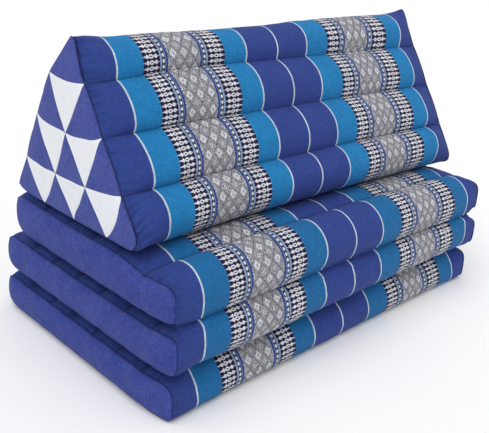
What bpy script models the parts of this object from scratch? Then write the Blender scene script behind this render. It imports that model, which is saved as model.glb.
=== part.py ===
"""Thai triangle cushion with three fold-out mats, folded into a seat.

A cover of cotton is sewn into parallel tubes that run along X and are stuffed
firm. Nine tubes make the triangle, six or seven make each mat. The tubes narrow
towards their end panels, and cloth hinges join the pieces at the back, the front
and the back again. Metres, +Z up, the front looks along -Y, the floor is z = 0.
"""
import math
from collections import namedtuple

import bmesh
import bpy
from mathutils import Vector

# Width, shared by every piece
SEAM_HALF = 0.400           # from the middle to each end seam
DRAW_IN = 0.060             # length over which a full tube narrows to its seam
END_SWELL = 0.011           # how far an end panel swells past its seam
END_ROUNDING = 0.75         # power of the curve by which tubes narrow
BULGE_PEAK = 27.0           # 1 over the product of a triangle's three middle shares
CLOTH = 0.0020              # thickness of the end panels and hinges
GAP = 0.0003                # air between two pieces that touch

# Triangle cushion, its outline seen from the end
TRI_BASE = 0.353
TRI_HEIGHT = 0.2955
TRI_ROWS = 4                # rows of tubes from the base to the ridge
TRI_CENTRE_Y = 0.0095       # the ridge stands a little behind the middle
TRI_CORNER_LIFT = 0.0095    # base corners above the mat
TRI_BASE_CHANNEL = 0.008    # depth of the channels under the base
TRI_END_SAG = 0.004         # the base edge hangs over the mat's rounded end
TRI_SAG_HEIGHT = 0.020      # only what lies lower than this sags
TRI_LEFT_LEAN = 0.014       # the left end leans in at the ridge
BASE_FLAT = 0.012           # how bluntly the two base tubes leave their channels

# Handles of the tubes' curves. A face tube's lie along the slope, in tube
# widths from its upper and its lower seam, and out from it in metres. Those of
# the ridge and corner tubes are (y, z) from the middle of the base.
Handle = namedtuple("Handle", "along out")
FACE_FULL = (Handle(0.22, 0.020), Handle(0.02, 0.026))
FACE_DRAWN = (Handle(0.30, 0.004), Handle(0.20, 0.004))
RIDGE_FULL = Vector((-0.0715, 0.2995))
RIDGE_DRAWN = Vector((-0.0100, 0.3080))
CORNER_FULL = (Vector((-0.200, 0.083)), Vector((-0.178, -0.035)))
CORNER_DRAWN = Vector((-0.185, 0.004))

# Mats, the same for all three
CHANNEL = 0.009             # depth of a sewn channel between two tubes
CHANNEL_AT_SEAM = 0.15      # part of that depth left at the end seam
TUBE_FULLNESS = 0.65        # under 1 gives a blunt tube with a sharp channel
PRESSED = 1.10              # over 1 flattens the crowns that lie on something
END_DROP_TOP = 0.013        # upper end seam below the crown of the tubes
TIP_DRAW_IN = 0.005         # front and back edges draw in at the end seam
CORNER_DRAW_IN = 0.007      # the end seam curves in towards its front corner
CORNER_FRONT = 0.080        # length of that curve at the front corner
CORNER_BACK = 0.045         # the end panel rounds off in this at the back
SEAM_POWER = 5.0            # squareness of an end panel's corners
CREST_SHARE = 0.60          # crest of an edge tube, as part of its width
FRONT_FALL_START = -0.120   # in front of this the free top falls to the ends
Rung = namedtuple("Rung", "down swell")
RUNGS = (Rung(0.0, 0.0), Rung(0.15, 0.62), Rung(0.5, 1.0), Rung(0.85, 0.62), Rung(1.0, 0.0))

# Cloth hinges
HINGE_REACH = 0.012         # how far a hinge runs onto each piece
HINGE_DIP = 0.006           # depth of its fold behind the cushion edges
HINGE_GAP = 0.0007          # air between a hinge and the edges that it bridges
HINGE_END = 0.006           # a hinge keeps at least this far from the end seams
HINGE_STEPS = (1.0, 0.5, 0.2, 0.0, -0.2, -0.5, -1.0)   # heights of its points, in reaches

# Where sections and points go
END_STEPS = (0.0, 0.008, 0.025, DRAW_IN)
MIDDLE_STEPS = (-0.170, 0.0, 0.170)
LOBE_STEPS = 3
EDGE_STEPS = 4
CORNER_STEPS = 8
FACE_STEPS = 6
DOME_SHRINKS = (0.16, 0.50)
CREST = 0.5                 # a tube's highest place, between channels at 0 and 1
SHARP_ANGLE = math.radians(35)

# Surfaces on which one piece lies on the next, lowest first
Level = namedtuple("Level", "height tilt back_left wave")
LEVELS = (
    Level(0.0, 0.0, 0.0, 0.0),
    Level(0.0746, 0.0010, 0.001, 0.0008),
    Level(0.1537, -0.0015, 0.003, 0.0010),
    Level(0.2375, -0.0045, 0.006, 0.0008),
)
BACK_Y = 0.25
WAVE_LENGTH = 0.55

# Mats from the floor up. Fronts and backs are the outermost points of their
# edge tubes; a corner is blunt where a hinge pulls it out and round elsewhere.
Mat = namedtuple("Mat", "name front back tubes front_tube back_tube front_tip back_tip "
                        "front_top front_low back_top back_low fall_left fall_right end_drop_base")
BLUNT = 4.5
ROUND = 2.0
SLOPING = 1.4
SQUARE = 3.2
MATS = (
    Mat("mat_bottom", -0.240, 0.250, 7, 0.070, 0.085, 0.33, 0.58,
        SLOPING, SQUARE, BLUNT, SQUARE, 0.000, 0.000, 0.002),
    Mat("mat_middle", -0.250, 0.240, 7, 0.055, 0.092, 0.62, 0.40,
        BLUNT, ROUND, ROUND, BLUNT, 0.000, 0.000, 0.008),
    Mat("mat_top", -0.245, 0.195, 6, 0.066, 0.096, 0.36, 0.62,
        ROUND, BLUNT, BLUNT, ROUND, 0.010, 0.003, 0.008),
)

# The ridge sinks towards the left and stands highest at the right end
Ridge = namedtuple("Ridge", "x rise")
RIDGE = (
    Ridge(-0.40, -0.012), Ridge(-0.34, -0.006), Ridge(-0.02, -0.001),
    Ridge(0.09, 0.009), Ridge(0.25, 0.011), Ridge(0.40, 0.010),
)

ROYAL = (0.045, 0.060, 0.330, 1.0)
VIOLET = (0.060, 0.062, 0.300, 1.0)
HINGE_BLUE = (0.030, 0.036, 0.220, 1.0)
COTTON_ROUGHNESS = 0.85


def cloth_material(name, colour):
    material = bpy.data.materials.new(name)
    material.use_nodes = True
    shader = material.node_tree.nodes["Principled BSDF"]
    shader.inputs["Base Color"].default_value = colour
    shader.inputs["Roughness"].default_value = COTTON_ROUGHNESS
    shader.inputs["Metallic"].default_value = 0.0
    return material


def section_places():
    left = [-SEAM_HALF + step for step in END_STEPS]
    return left + list(MIDDLE_STEPS) + [-x for x in reversed(left)]


def fullness(x):
    """0 on an end seam, 1 where the tubes are full, rounded like a stuffed end."""
    along = min((SEAM_HALF - abs(x)) / DRAW_IN, 1.0)
    return max(0.0, 1.0 - (1.0 - along) ** 2) ** END_ROUNDING


def fullness_of(share):
    return math.sqrt(1.0 - (1.0 - min(max(share, 0.0), 1.0)) ** 2)


def level_z(level, x, y):
    across = x / SEAM_HALF
    lift = level.back_left * max(0.0, -across) * max(0.0, y / BACK_Y)
    wave = level.wave * math.sin(2 * math.pi * x / WAVE_LENGTH)
    return level.height + level.tilt * across + lift + wave


def ridge_rise(x):
    for before, after in zip(RIDGE, RIDGE[1:]):
        if x <= after.x:
            share = (x - before.x) / (after.x - before.x)
            share = share * share * (3 - 2 * share)
            return before.rise + share * (after.rise - before.rise)
    return RIDGE[-1].rise


def bezier(start, lead, trail, end, share):
    rest = 1.0 - share
    return (start * rest ** 3 + lead * 3 * share * rest ** 2
            + trail * 3 * share ** 2 * rest + end * share ** 3)


# Triangle cushion


def triangle_lobes():
    """The tubes round the outline, from the ridge down the front, under the
    base and up the back. Each has its seams and two handles, full and at the
    end seam, in (y, z) from the middle of the base."""
    half = TRI_BASE / 2
    slope = Vector((-half, -TRI_HEIGHT)).normalized()
    out = Vector((slope.y, -slope.x))

    def on_front(row):
        share = row / TRI_ROWS
        return Vector((-half * share, TRI_CORNER_LIFT + TRI_HEIGHT * (1 - share)))

    def face_tube(row):
        upper, lower = on_front(row), on_front(row + 1)
        pitch = (lower - upper).length

        def handles(high, low):
            return (upper + slope * high.along * pitch + out * high.out,
                    lower - slope * low.along * pitch + out * low.out)

        return (upper, lower, handles(*FACE_FULL), handles(*FACE_DRAWN), FACE_STEPS)

    base_seam = Vector((-half / 2, TRI_BASE_CHANNEL))
    base_middle = Vector((0.0, TRI_BASE_CHANNEL))
    mirror = Vector((-1.0, 1.0))
    ridge = (on_front(1) * mirror, on_front(1), (RIDGE_FULL * mirror, RIDGE_FULL),
             (RIDGE_DRAWN * mirror, RIDGE_DRAWN), CORNER_STEPS)
    corner = (on_front(3), base_seam, CORNER_FULL, (CORNER_DRAWN, CORNER_DRAWN), CORNER_STEPS)
    across = Vector((BASE_FLAT, 0.0))
    down = Vector((0.0, -BASE_FLAT))
    base = (base_seam, base_middle, (base_seam + across + down, base_middle - across + down),
            (base_seam + across, base_middle - across), LOBE_STEPS + 1)

    front = [face_tube(1), face_tube(2), corner, base]
    back = [(end * mirror, start * mirror, (full[1] * mirror, full[0] * mirror),
             (seam[1] * mirror, seam[0] * mirror), steps)
            for start, end, full, seam, steps in reversed(front)]
    return [ridge] + front + back


def triangle_ring(x):
    full_share = fullness(x)
    resting = LEVELS[3]
    middle_z = level_z(resting, 0.0, 0.0)
    top = TRI_HEIGHT + TRI_CORNER_LIFT
    row_one = top - TRI_HEIGHT / TRI_ROWS
    ring = []
    for start, end, full, seam, steps in triangle_lobes():
        for step in range(steps):
            share = step / steps
            swollen = bezier(start, full[0], full[1], end, share)
            drawn = bezier(start, seam[0], seam[1], end, share)
            y, z = drawn + (swollen - drawn) * full_share
            y += TRI_CENTRE_Y
            sag = TRI_END_SAG * (1.0 - full_share) * max(0.0, 1.0 - z / TRI_SAG_HEIGHT)
            z = max(z, GAP / 2) - sag
            ground = level_z(resting, x, y)
            height_share = min(max(z / top, 0.0), 1.0)
            crest = max(0.0, (z - row_one) / (top - row_one))
            z += middle_z + (ground - middle_z) * (1 - height_share) + ridge_rise(x) * crest
            lean = TRI_LEFT_LEAN * crest * (1.0 - full_share) if x < 0 else 0.0
            ring.append(Vector((x + lean, y, z)))
    return ring


def corner_shares(point):
    """How near a point of the end is to the ridge and the two base corners."""
    ridge_share = (point.z - LEVELS[3].height - TRI_CORNER_LIFT) / TRI_HEIGHT
    ridge_share = min(max(ridge_share, 0.0), 1.0)
    front_share = (1.0 - ridge_share) / 2 - (point.y - TRI_CENTRE_Y) / TRI_BASE
    front_share = min(max(front_share, 0.0), 1.0 - ridge_share)
    return ridge_share, front_share, 1.0 - ridge_share - front_share


def dome_rows(ring, side, lift):
    """Shrinking copies of an end outline that swell out to a middle point."""
    centre = sum(ring, Vector()) / len(ring)
    rows = []
    for shrink in DOME_SHRINKS:
        row = []
        for edge in ring:
            point = edge.lerp(centre, shrink)
            swell = END_SWELL * math.sqrt(BULGE_PEAK * math.prod(corner_shares(point)))
            row.append(point + Vector((side * (swell + lift), 0.0, 0.0)))
        rows.append(row)
    return rows, centre + Vector((side * (END_SWELL + lift), 0.0, 0.0))


# Mats


def tube_height(share):
    return min(1.0, PRESSED * math.sin(math.pi * min(max(share, 0.0), 1.0)) ** TUBE_FULLNESS)


def edge_curve(power, steps):
    """Quarter of a superellipse: (inward share, height share) from tip to crest."""
    points = []
    for step in range(steps + 1):
        angle = math.pi / 2 * step / steps
        inward = 1.0 - math.cos(angle) ** (2.0 / power)
        points.append((inward, math.sin(angle) ** (2.0 / power)))
    return points


def mat_outline(mat, x, over, under):
    """Upper and lower rows of points from the front tip to the back tip."""
    full = fullness(x)
    channel = CHANNEL * (CHANNEL_AT_SEAM + (1.0 - CHANNEL_AT_SEAM) * full)
    front = mat.front + TIP_DRAW_IN * (1.0 - full)
    back = mat.back - TIP_DRAW_IN * (1.0 - full)
    first = mat.front + mat.front_tube
    last = mat.back - mat.back_tube
    pitch = (last - first) / (mat.tubes - 2)

    def surface(y, upper):
        level = over if upper else under
        side = -1.0 if upper else 1.0
        drop = END_DROP_TOP if upper else mat.end_drop_base
        fall = 0.0
        if upper and y < FRONT_FALL_START:
            share = (FRONT_FALL_START - y) / (FRONT_FALL_START - first)
            most = mat.fall_left if x < 0 else mat.fall_right
            fall = most * min(1.0, share) * (x / SEAM_HALF) ** 2
        air = 0.0 if level is LEVELS[0] else GAP / 2
        return level_z(level, x, y) + side * (air + drop * (1.0 - full) + fall)

    def place(y, z):
        """A point of this section; near a corner its seam lies further in."""
        near = max(0.0, 1.0 - (y - front) / CORNER_FRONT)
        inward = CORNER_DRAW_IN * near ** 2 * (1.0 - full)
        return Vector((x - math.copysign(inward, x), y, z))

    def tip(y, share):
        low, high = surface(y, False), surface(y, True)
        return low + (high - low) * share

    def row(upper):
        side = -1.0 if upper else 1.0
        powers = (mat.front_top, mat.back_top) if upper else (mat.front_low, mat.back_low)
        powers = [SEAM_POWER + (power - SEAM_POWER) * full for power in powers]
        front_tip, back_tip = tip(front, mat.front_tip), tip(back, mat.back_tip)
        points = []
        reach = mat.front_tube * CREST_SHARE
        for inward, height in edge_curve(powers[0], EDGE_STEPS):
            y = front + reach * inward
            points.append(place(y, front_tip + (surface(y, upper) - front_tip) * height))

        def sunk(y, share):
            return place(y, surface(y, upper) + side * channel * (1 - tube_height(share)))

        points.append(sunk((front + reach + first) / 2, (1.0 + CREST) / 2))
        points.append(sunk(first, 1.0))
        for tube in range(mat.tubes - 2):
            for step in range(1, LOBE_STEPS + 1):
                share = step / LOBE_STEPS
                points.append(sunk(first + pitch * (tube + share), share))
        reach = mat.back_tube * CREST_SHARE
        points.append(sunk((back - reach + last) / 2, CREST / 2))
        for inward, height in reversed(edge_curve(powers[1], EDGE_STEPS)):
            y = back - reach * inward
            points.append(place(y, back_tip + (surface(y, upper) - back_tip) * height))
        return points

    return row(True), row(False)


def ladder(upper, lower, side, lift):
    """Columns of an end panel, from each upper point to the one below it."""
    columns = []
    last = len(upper) - 1
    for index in range(1, last):
        from_front = (upper[index].y - upper[0].y) / CORNER_FRONT
        from_back = (upper[last].y - upper[index].y) / CORNER_BACK
        swell = END_SWELL * fullness_of(min(from_front, from_back))
        column = []
        for rung in RUNGS:
            point = upper[index].lerp(lower[index], rung.down)
            column.append(point + Vector((side * (swell * rung.swell + lift), 0.0, 0.0)))
        columns.append(column)
    return columns


# Meshes


class Shell:
    """Collects points and faces of one closed body."""

    def __init__(self):
        self.points = []
        self.faces = []

    def add(self, point):
        self.points.append(tuple(point))
        return len(self.points) - 1

    def add_row(self, row):
        return [self.add(point) for point in row]

    def band(self, one, two, closed=True):
        count = len(one)
        for index in range(count if closed else count - 1):
            after = (index + 1) % count
            self.faces.append((one[index], one[after], two[after], two[index]))

    def fan(self, row, point):
        for index in range(len(row)):
            self.faces.append((row[index], row[(index + 1) % len(row)], point))

    def finish(self, name, material):
        mesh = bpy.data.meshes.new(name)
        mesh.from_pydata(self.points, [], self.faces)
        solid = bmesh.new()
        solid.from_mesh(mesh)
        bmesh.ops.triangulate(solid, faces=solid.faces[:], quad_method="SHORT_EDGE")
        bmesh.ops.recalc_face_normals(solid, faces=solid.faces[:])
        solid.to_mesh(mesh)
        solid.free()
        mesh.materials.append(material)
        mesh.shade_smooth()
        mesh.set_sharp_from_angle(angle=SHARP_ANGLE)
        piece = bpy.data.objects.new(name, mesh)
        bpy.context.scene.collection.objects.link(piece)
        return piece


def add_dome(shell, edge, ring, side, lift):
    rows, tip = dome_rows(ring, side, lift)
    before = edge
    for row in rows:
        after = shell.add_row(row)
        shell.band(before, after)
        before = after
    shell.fan(before, shell.add(tip))


def add_ladder(shell, upper_rows, lower_rows, upper, lower, side, lift):
    """Fills an end between outline points that the shell already holds."""
    grid = []
    for index, column in enumerate(ladder(upper, lower, side, lift), start=1):
        inner = shell.add_row(column[1:-1])
        grid.append([upper_rows[index]] + inner + [lower_rows[index]])
    for one, two in zip(grid, grid[1:]):
        shell.band(one, two, closed=False)
    for tip, column in ((upper_rows[0], grid[0]), (upper_rows[-1], grid[-1])):
        for one, two in zip(column, column[1:]):
            shell.faces.append((tip, one, two))


def closed_ring(upper, lower):
    return upper + lower[-2:0:-1]


def build_triangle(material):
    shell = Shell()
    places = section_places()
    rings = [triangle_ring(x) for x in places]
    rows = [shell.add_row(ring) for ring in rings]
    for one, two in zip(rows, rows[1:]):
        shell.band(one, two)
    add_dome(shell, rows[0], rings[0], -1, 0.0)
    add_dome(shell, rows[-1], rings[-1], 1, 0.0)
    shell.finish("triangle_cushion", material)
    return dict(zip(places, rings))


def build_triangle_end(name, ring, side, material):
    shell = Shell()
    edges = []
    for lift in (GAP, GAP + CLOTH):
        shift = Vector((side * lift, 0.0, 0.0))
        edge = shell.add_row([point + shift for point in ring])
        add_dome(shell, edge, ring, side, lift)
        edges.append(edge)
    shell.band(edges[0], edges[1])
    shell.finish(name, material)


def build_mat(mat, over, under, material):
    shell = Shell()
    places = section_places()
    outlines = [mat_outline(mat, x, over, under) for x in places]
    rings = [closed_ring(upper, lower) for upper, lower in outlines]
    rows = [shell.add_row(ring) for ring in rings]
    for one, two in zip(rows, rows[1:]):
        shell.band(one, two)
    for place, side in ((0, -1), (-1, 1)):
        upper, lower = outlines[place]
        count = len(upper)
        row = rows[place]
        upper_row = row[:count]
        lower_row = [row[0]] + row[:count - 1:-1] + [row[count - 1]]
        add_ladder(shell, upper_row, lower_row, upper, lower, side, 0.0)
    shell.finish(mat.name, material)
    return dict(zip(places, rings)), outlines[0], outlines[-1]


def build_mat_end(name, outline, side, material):
    upper, lower = outline
    count = len(upper)
    shell = Shell()
    edges = []
    for lift in (GAP, GAP + CLOTH):
        shift = Vector((side * lift, 0.0, 0.0))
        edge = shell.add_row([point + shift for point in closed_ring(upper, lower)])
        lower_row = [edge[0]] + edge[:count - 1:-1] + [edge[count - 1]]
        add_ladder(shell, edge[:count], lower_row, upper, lower, side, lift)
        edges.append(edge)
    shell.band(edges[0], edges[1])
    shell.finish(name, material)


# Cloth hinges


def edge_at_height(ring, z, side):
    """The outermost y of a section at a height, on the front (-1) or back (1)."""
    found = []
    for one, two in zip(ring, ring[1:] + ring[:1]):
        if min(one.z, two.z) <= z <= max(one.z, two.z) and one.z != two.z:
            found.append(one.y + (two.y - one.y) * (z - one.z) / (two.z - one.z))
    return side * max(side * y for y in found) if found else None


def reach_between(ring, low, high, side):
    """How far a section stands out anywhere between two heights."""
    found = [point.y for point in ring if low <= point.z <= high]
    found += [y for y in (edge_at_height(ring, z, side) for z in (low, high)) if y is not None]
    return max([side * y for y in found] + [-BACK_Y])


def build_hinge(name, upper_rings, lower_rings, level, side, material):
    """A strip that runs down the upper edge, dips into the fold and runs on
    down the lower edge."""
    shell = Shell()
    rows = []
    for x, upper in upper_rings.items():
        if SEAM_HALF - abs(x) < HINGE_END:
            continue
        lower = lower_rings[x]
        edge = min(max(side * point.y for point in ring) for ring in (upper, lower))
        fold = level_z(level, x, side * edge)
        limit = min(side * edge_at_height(upper, fold + HINGE_REACH, side),
                    side * edge_at_height(lower, fold - HINGE_REACH, side)) - HINGE_DIP
        heights = [fold + share * HINGE_REACH for share in HINGE_STEPS]
        inner = []
        for index, z in enumerate(heights):
            low = heights[min(index + 1, len(heights) - 1)]
            high = heights[max(index - 1, 0)]
            reach = max([reach_between(ring, low, high, side) for ring in (upper, lower)] + [limit])
            inner.append(Vector((x, side * (reach + HINGE_GAP), z)))
        outer = [point + Vector((0.0, side * CLOTH, 0.0)) for point in inner]
        rows.append(shell.add_row(inner + outer[::-1]))
    for one, two in zip(rows, rows[1:]):
        shell.band(one, two)
    count = len(HINGE_STEPS)
    for row in (rows[0], rows[-1]):
        shell.band(row[:count], row[:count - 1:-1], closed=False)
    shell.finish(name, material)


def centre_on_floor():
    """Puts the middle of the whole footprint over the origin."""
    pieces = bpy.context.scene.objects[:]
    points = [vertex.co for piece in pieces for vertex in piece.data.vertices]
    shift = Vector()
    for axis in (0, 1):
        values = [point[axis] for point in points]
        shift[axis] = -(min(values) + max(values)) / 2
    for piece in pieces:
        for vertex in piece.data.vertices:
            vertex.co += shift


def main():
    for piece in bpy.data.objects[:]:
        bpy.data.objects.remove(piece)
    royal = cloth_material("woven_cotton", ROYAL)
    violet = cloth_material("end_panel_cotton", VIOLET)
    hinge_blue = cloth_material("hinge_cotton", HINGE_BLUE)

    rings = {}
    rings["triangle"] = build_triangle(royal)
    for label, side in (("left", -1), ("right", 1)):
        build_triangle_end("triangle_end_" + label, triangle_ring(side * SEAM_HALF), side, violet)
    for mat, under, over in zip(MATS, LEVELS, LEVELS[1:]):
        rings[mat.name], left, right = build_mat(mat, over, under, royal)
        build_mat_end(mat.name + "_end_left", left, -1, violet)
        build_mat_end(mat.name + "_end_right", right, 1, violet)

    build_hinge("hinge_back_upper", rings["triangle"], rings["mat_top"], LEVELS[3], 1, hinge_blue)
    build_hinge("hinge_front", rings["mat_top"], rings["mat_middle"], LEVELS[2], -1, hinge_blue)
    build_hinge("hinge_back_lower", rings["mat_middle"], rings["mat_bottom"], LEVELS[1], 1, hinge_blue)
    centre_on_floor()


main()
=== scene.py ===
"""Thai triangle cushion folded into a seat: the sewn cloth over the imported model."""
import math
from collections import namedtuple

import bmesh
import bpy
from mathutils import Matrix, Vector, noise
from mathutils.bvhtree import BVHTree


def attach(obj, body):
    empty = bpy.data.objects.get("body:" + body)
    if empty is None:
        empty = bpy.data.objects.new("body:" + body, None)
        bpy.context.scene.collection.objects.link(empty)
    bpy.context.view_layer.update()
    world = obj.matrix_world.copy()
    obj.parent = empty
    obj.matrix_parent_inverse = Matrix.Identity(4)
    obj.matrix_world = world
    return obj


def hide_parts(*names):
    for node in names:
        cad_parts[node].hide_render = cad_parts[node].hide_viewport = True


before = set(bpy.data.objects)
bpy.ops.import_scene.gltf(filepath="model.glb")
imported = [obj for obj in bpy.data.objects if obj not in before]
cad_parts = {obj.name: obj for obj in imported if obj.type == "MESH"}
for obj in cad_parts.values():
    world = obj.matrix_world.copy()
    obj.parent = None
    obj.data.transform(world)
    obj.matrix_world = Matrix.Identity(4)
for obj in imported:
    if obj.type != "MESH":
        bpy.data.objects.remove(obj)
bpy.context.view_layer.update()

# The picture is taken from the cushion's left front corner, a little above its
# ridge, and turned slightly. The lens is given for a 36 mm wide picture.
CAMERA_PLACE = Vector((-0.9242, -0.9083, 0.6561))
CAMERA_YAW = math.radians(45.744)       # from +X towards +Y
CAMERA_PITCH = math.radians(21.046)     # below level
CAMERA_ROLL = math.radians(2.896)
PICTURE_WIDTH = 489
FOCAL_PIXELS = 712.0
FILM_WIDTH = 36.0


def set_camera():
    look = Vector((math.cos(CAMERA_YAW) * math.cos(CAMERA_PITCH),
                   math.sin(CAMERA_YAW) * math.cos(CAMERA_PITCH), -math.sin(CAMERA_PITCH)))
    level = look.cross(Vector((0, 0, 1))).normalized()
    upright = level.cross(look)
    right = level * math.cos(CAMERA_ROLL) + upright * math.sin(CAMERA_ROLL)
    up = upright * math.cos(CAMERA_ROLL) - level * math.sin(CAMERA_ROLL)
    camera_data = bpy.data.cameras.new("camera")
    camera_data.sensor_width = FILM_WIDTH
    camera_data.lens = FILM_WIDTH * FOCAL_PIXELS / PICTURE_WIDTH
    camera = bpy.data.objects.new("camera", camera_data)
    bpy.context.scene.collection.objects.link(camera)
    camera.matrix_world = Matrix.Translation(CAMERA_PLACE) @ Matrix((right, up, -look)).transposed().to_4x4()
    bpy.context.scene.camera = camera


set_camera()

# The studio is a white floor that runs out of the picture, a wide soft light
# from high above, a weaker one from the right front, and a bright room.
FLOOR_HALF = 60.0
FLOOR_DROP = 0.0004
FLOOR_WHITE = (0.93, 0.93, 0.93, 1.0)
ROOM_LIGHT = (1.0, 1.0, 1.0, 1.0)
ROOM_STRENGTH = 0.62
SKYLIGHT_FROM = Vector((-0.35, -0.25, 1.0))
SKYLIGHT_STRENGTH = 1.70
SKYLIGHT_SPREAD = math.radians(70)
FILL_PLACE = Vector((1.6, -2.0, 1.3))
FILL_SIZE = 1.8
FILL_WATTS = 2.0


def build_floor():
    mesh = bpy.data.meshes.new("floor")
    side = FLOOR_HALF
    corners = [(-side, -side, -FLOOR_DROP), (side, -side, -FLOOR_DROP),
               (side, side, -FLOOR_DROP), (-side, side, -FLOOR_DROP)]
    mesh.from_pydata(corners, [], [(0, 1, 2, 3)])
    paint = bpy.data.materials.new("floor_paint")
    paint.use_nodes = True
    shader = paint.node_tree.nodes["Principled BSDF"]
    shader.inputs["Base Color"].default_value = FLOOR_WHITE
    shader.inputs["Roughness"].default_value = 0.9
    mesh.materials.append(paint)
    floor = bpy.data.objects.new("floor", mesh)
    bpy.context.scene.collection.objects.link(floor)


def hang_light(light, place):
    """Puts a light at a place, turned to the middle of the cushion."""
    holder = bpy.data.objects.new(light.name, light)
    bpy.context.scene.collection.objects.link(holder)
    middle = Vector((0.0, 0.0, 0.25))
    aim = (middle - place).to_track_quat("-Z", "Y").to_matrix().to_4x4()
    holder.matrix_world = Matrix.Translation(place) @ aim


def set_lamps():
    skylight = bpy.data.lights.new("skylight", "SUN")
    skylight.energy = SKYLIGHT_STRENGTH
    skylight.angle = SKYLIGHT_SPREAD
    hang_light(skylight, SKYLIGHT_FROM * 2.0)
    fill = bpy.data.lights.new("fill", "AREA")
    fill.size = FILL_SIZE
    fill.energy = FILL_WATTS
    hang_light(fill, FILL_PLACE)
    world = bpy.data.worlds.new("room")
    bpy.context.scene.world = world
    world.use_nodes = True
    world.node_tree.nodes["Background"].inputs["Color"].default_value = ROOM_LIGHT
    world.node_tree.nodes["Background"].inputs["Strength"].default_value = ROOM_STRENGTH
    bpy.context.scene.view_settings.view_transform = "Standard"


build_floor()
set_lamps()

# The triangle's cover is one length of woven cotton, sewn into nine tubes that
# run from end to end and are stuffed hard with kapok. Royal blue and turquoise
# cloth alternates with two bands of brocade, and white lines part the colours.
SEAM_HALF = 0.400            # from the middle to each end seam
DRAW_IN = 0.060              # a full tube narrows to its end seam over this
END_ROUNDING = 0.75
END_SWELL = 0.011            # the filling pushes an end out by this
GAP = 0.0003                 # air between two pieces that touch
TRI_BASE = 0.353
TRI_HEIGHT = 0.2955
TRI_ROWS = 4
TRI_CENTRE_Y = 0.0098
TRI_CORNER_LIFT = 0.0095
TRI_BASE_CHANNEL = 0.008
TRI_END_SAG = 0.004
TRI_LEFT_LEAN = 0.014
BACK_Y = 0.25
WAVE_LENGTH = 0.55
THREAD_STEP = 0.0075         # spacing of the cloth's points before it is smoothed
END_STATIONS = (0.0, 0.0015, 0.004, 0.0075, 0.012, 0.017, 0.023, 0.029, 0.036, 0.043, 0.051)
MIDDLE_STATION = 0.010

Level = namedtuple("Level", "height tilt back_left wave")
LEVELS = (
    Level(0.0, 0.0, 0.0, 0.0),
    Level(0.0746, 0.0010, 0.001, 0.0008),
    Level(0.1537, -0.0015, 0.003, 0.0010),
    Level(0.2375, -0.0045, 0.006, 0.0008),
)
Ridge = namedtuple("Ridge", "x rise")
RIDGE = (
    Ridge(-0.40, -0.010), Ridge(-0.395, -0.003), Ridge(-0.37, 0.001), Ridge(-0.31, -0.006),
    Ridge(-0.15, -0.009), Ridge(-0.02, -0.007), Ridge(0.09, 0.004), Ridge(0.25, 0.011),
    Ridge(0.40, 0.013),
)


# At its left end the filling has settled: the rows of tubes have slid down the
# front and the back there, the lowest one is pushed out at the front, and the
# back is drawn in. Heights are shares of the triangle's, the rest is in metres.
Settled = namedtuple("Settled", "height front back spread narrow")
SETTLED = (
    Settled(-0.10, 0.003, 0.004, 0.010, 0.013), Settled(0.0, 0.003, 0.004, 0.010, 0.013),
    Settled(0.25, 0.004, 0.011, 0.002, 0.014), Settled(0.50, 0.004, 0.001, 0.0, 0.002),
    Settled(0.75, 0.009, 0.005, 0.0, 0.008), Settled(0.90, 0.004, 0.003, 0.0, 0.009),
    Settled(1.10, 0.0, 0.0, 0.0, 0.0),
)
SETTLED_FLOOR = 0.05         # below this share of the height nothing slides down
SETTLED_TOP_WIDE = 0.12      # width at the ridge over which front turns to back
SETTLED_FROM = -0.20         # where along X it starts


def settle(point):
    """Moves a point of the triangle to where the settled filling leaves it."""
    if point.x > SETTLED_FROM:
        return point
    far = min(1.0, (SETTLED_FROM - point.x) / (SEAM_HALF + SETTLED_FROM))
    far = far * far * (3 - 2 * far)
    high = (point.z - LEVELS[3].height - TRI_CORNER_LIFT) / TRI_HEIGHT
    high = min(max(high, SETTLED[0].height), SETTLED[-1].height)
    for below, above in zip(SETTLED, SETTLED[1:]):
        if high <= above.height:
            break
    share = (high - below.height) / (above.height - below.height)
    front, back, spread, narrow = (one + (two - one) * share for one, two in zip(below[1:], above[1:]))
    wide = TRI_BASE * max(SETTLED_TOP_WIDE, 1.0 - high)
    forward = min(max(0.5 - (point.y - TRI_CENTRE_Y) / wide, 0.0), 1.0)
    drop = (back + (front - back) * forward) * far
    out = (2 * forward - 1.0) * drop * TRI_BASE / 2 / TRI_HEIGHT
    out += (spread * forward + narrow * (1.0 - forward)) * far
    return point - Vector((0.0, out, drop * min(1.0, max(0.0, high / SETTLED_FLOOR))))


def stations():
    """Places along X at which the cloth has a row of points."""
    left = [-SEAM_HALF + step for step in END_STATIONS]
    inner = SEAM_HALF - DRAW_IN
    count = round(2 * inner / MIDDLE_STATION)
    middle = [-inner + 2 * inner * step / count for step in range(count + 1)]
    return left + middle + [-x for x in reversed(left)]


def fullness(x):
    along = min((SEAM_HALF - abs(x)) / DRAW_IN, 1.0)
    return max(0.0, 1.0 - (1.0 - along) ** 2) ** END_ROUNDING


def level_z(level, x, y):
    across = x / SEAM_HALF
    lift = level.back_left * max(0.0, -across) * max(0.0, y / BACK_Y)
    wave = level.wave * math.sin(2 * math.pi * x / WAVE_LENGTH)
    return level.height + level.tilt * across + lift + wave


def ridge_rise(x):
    for before, after in zip(RIDGE, RIDGE[1:]):
        if x <= after.x:
            share = (x - before.x) / (after.x - before.x)
            share = share * share * (3 - 2 * share)
            return before.rise + share * (after.rise - before.rise)
    return RIDGE[-1].rise


def bezier(start, lead, trail, end, share):
    rest = 1.0 - share
    return (start * rest ** 3 + lead * 3 * share * rest ** 2
            + trail * 3 * share ** 2 * rest + end * share ** 3)


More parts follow.
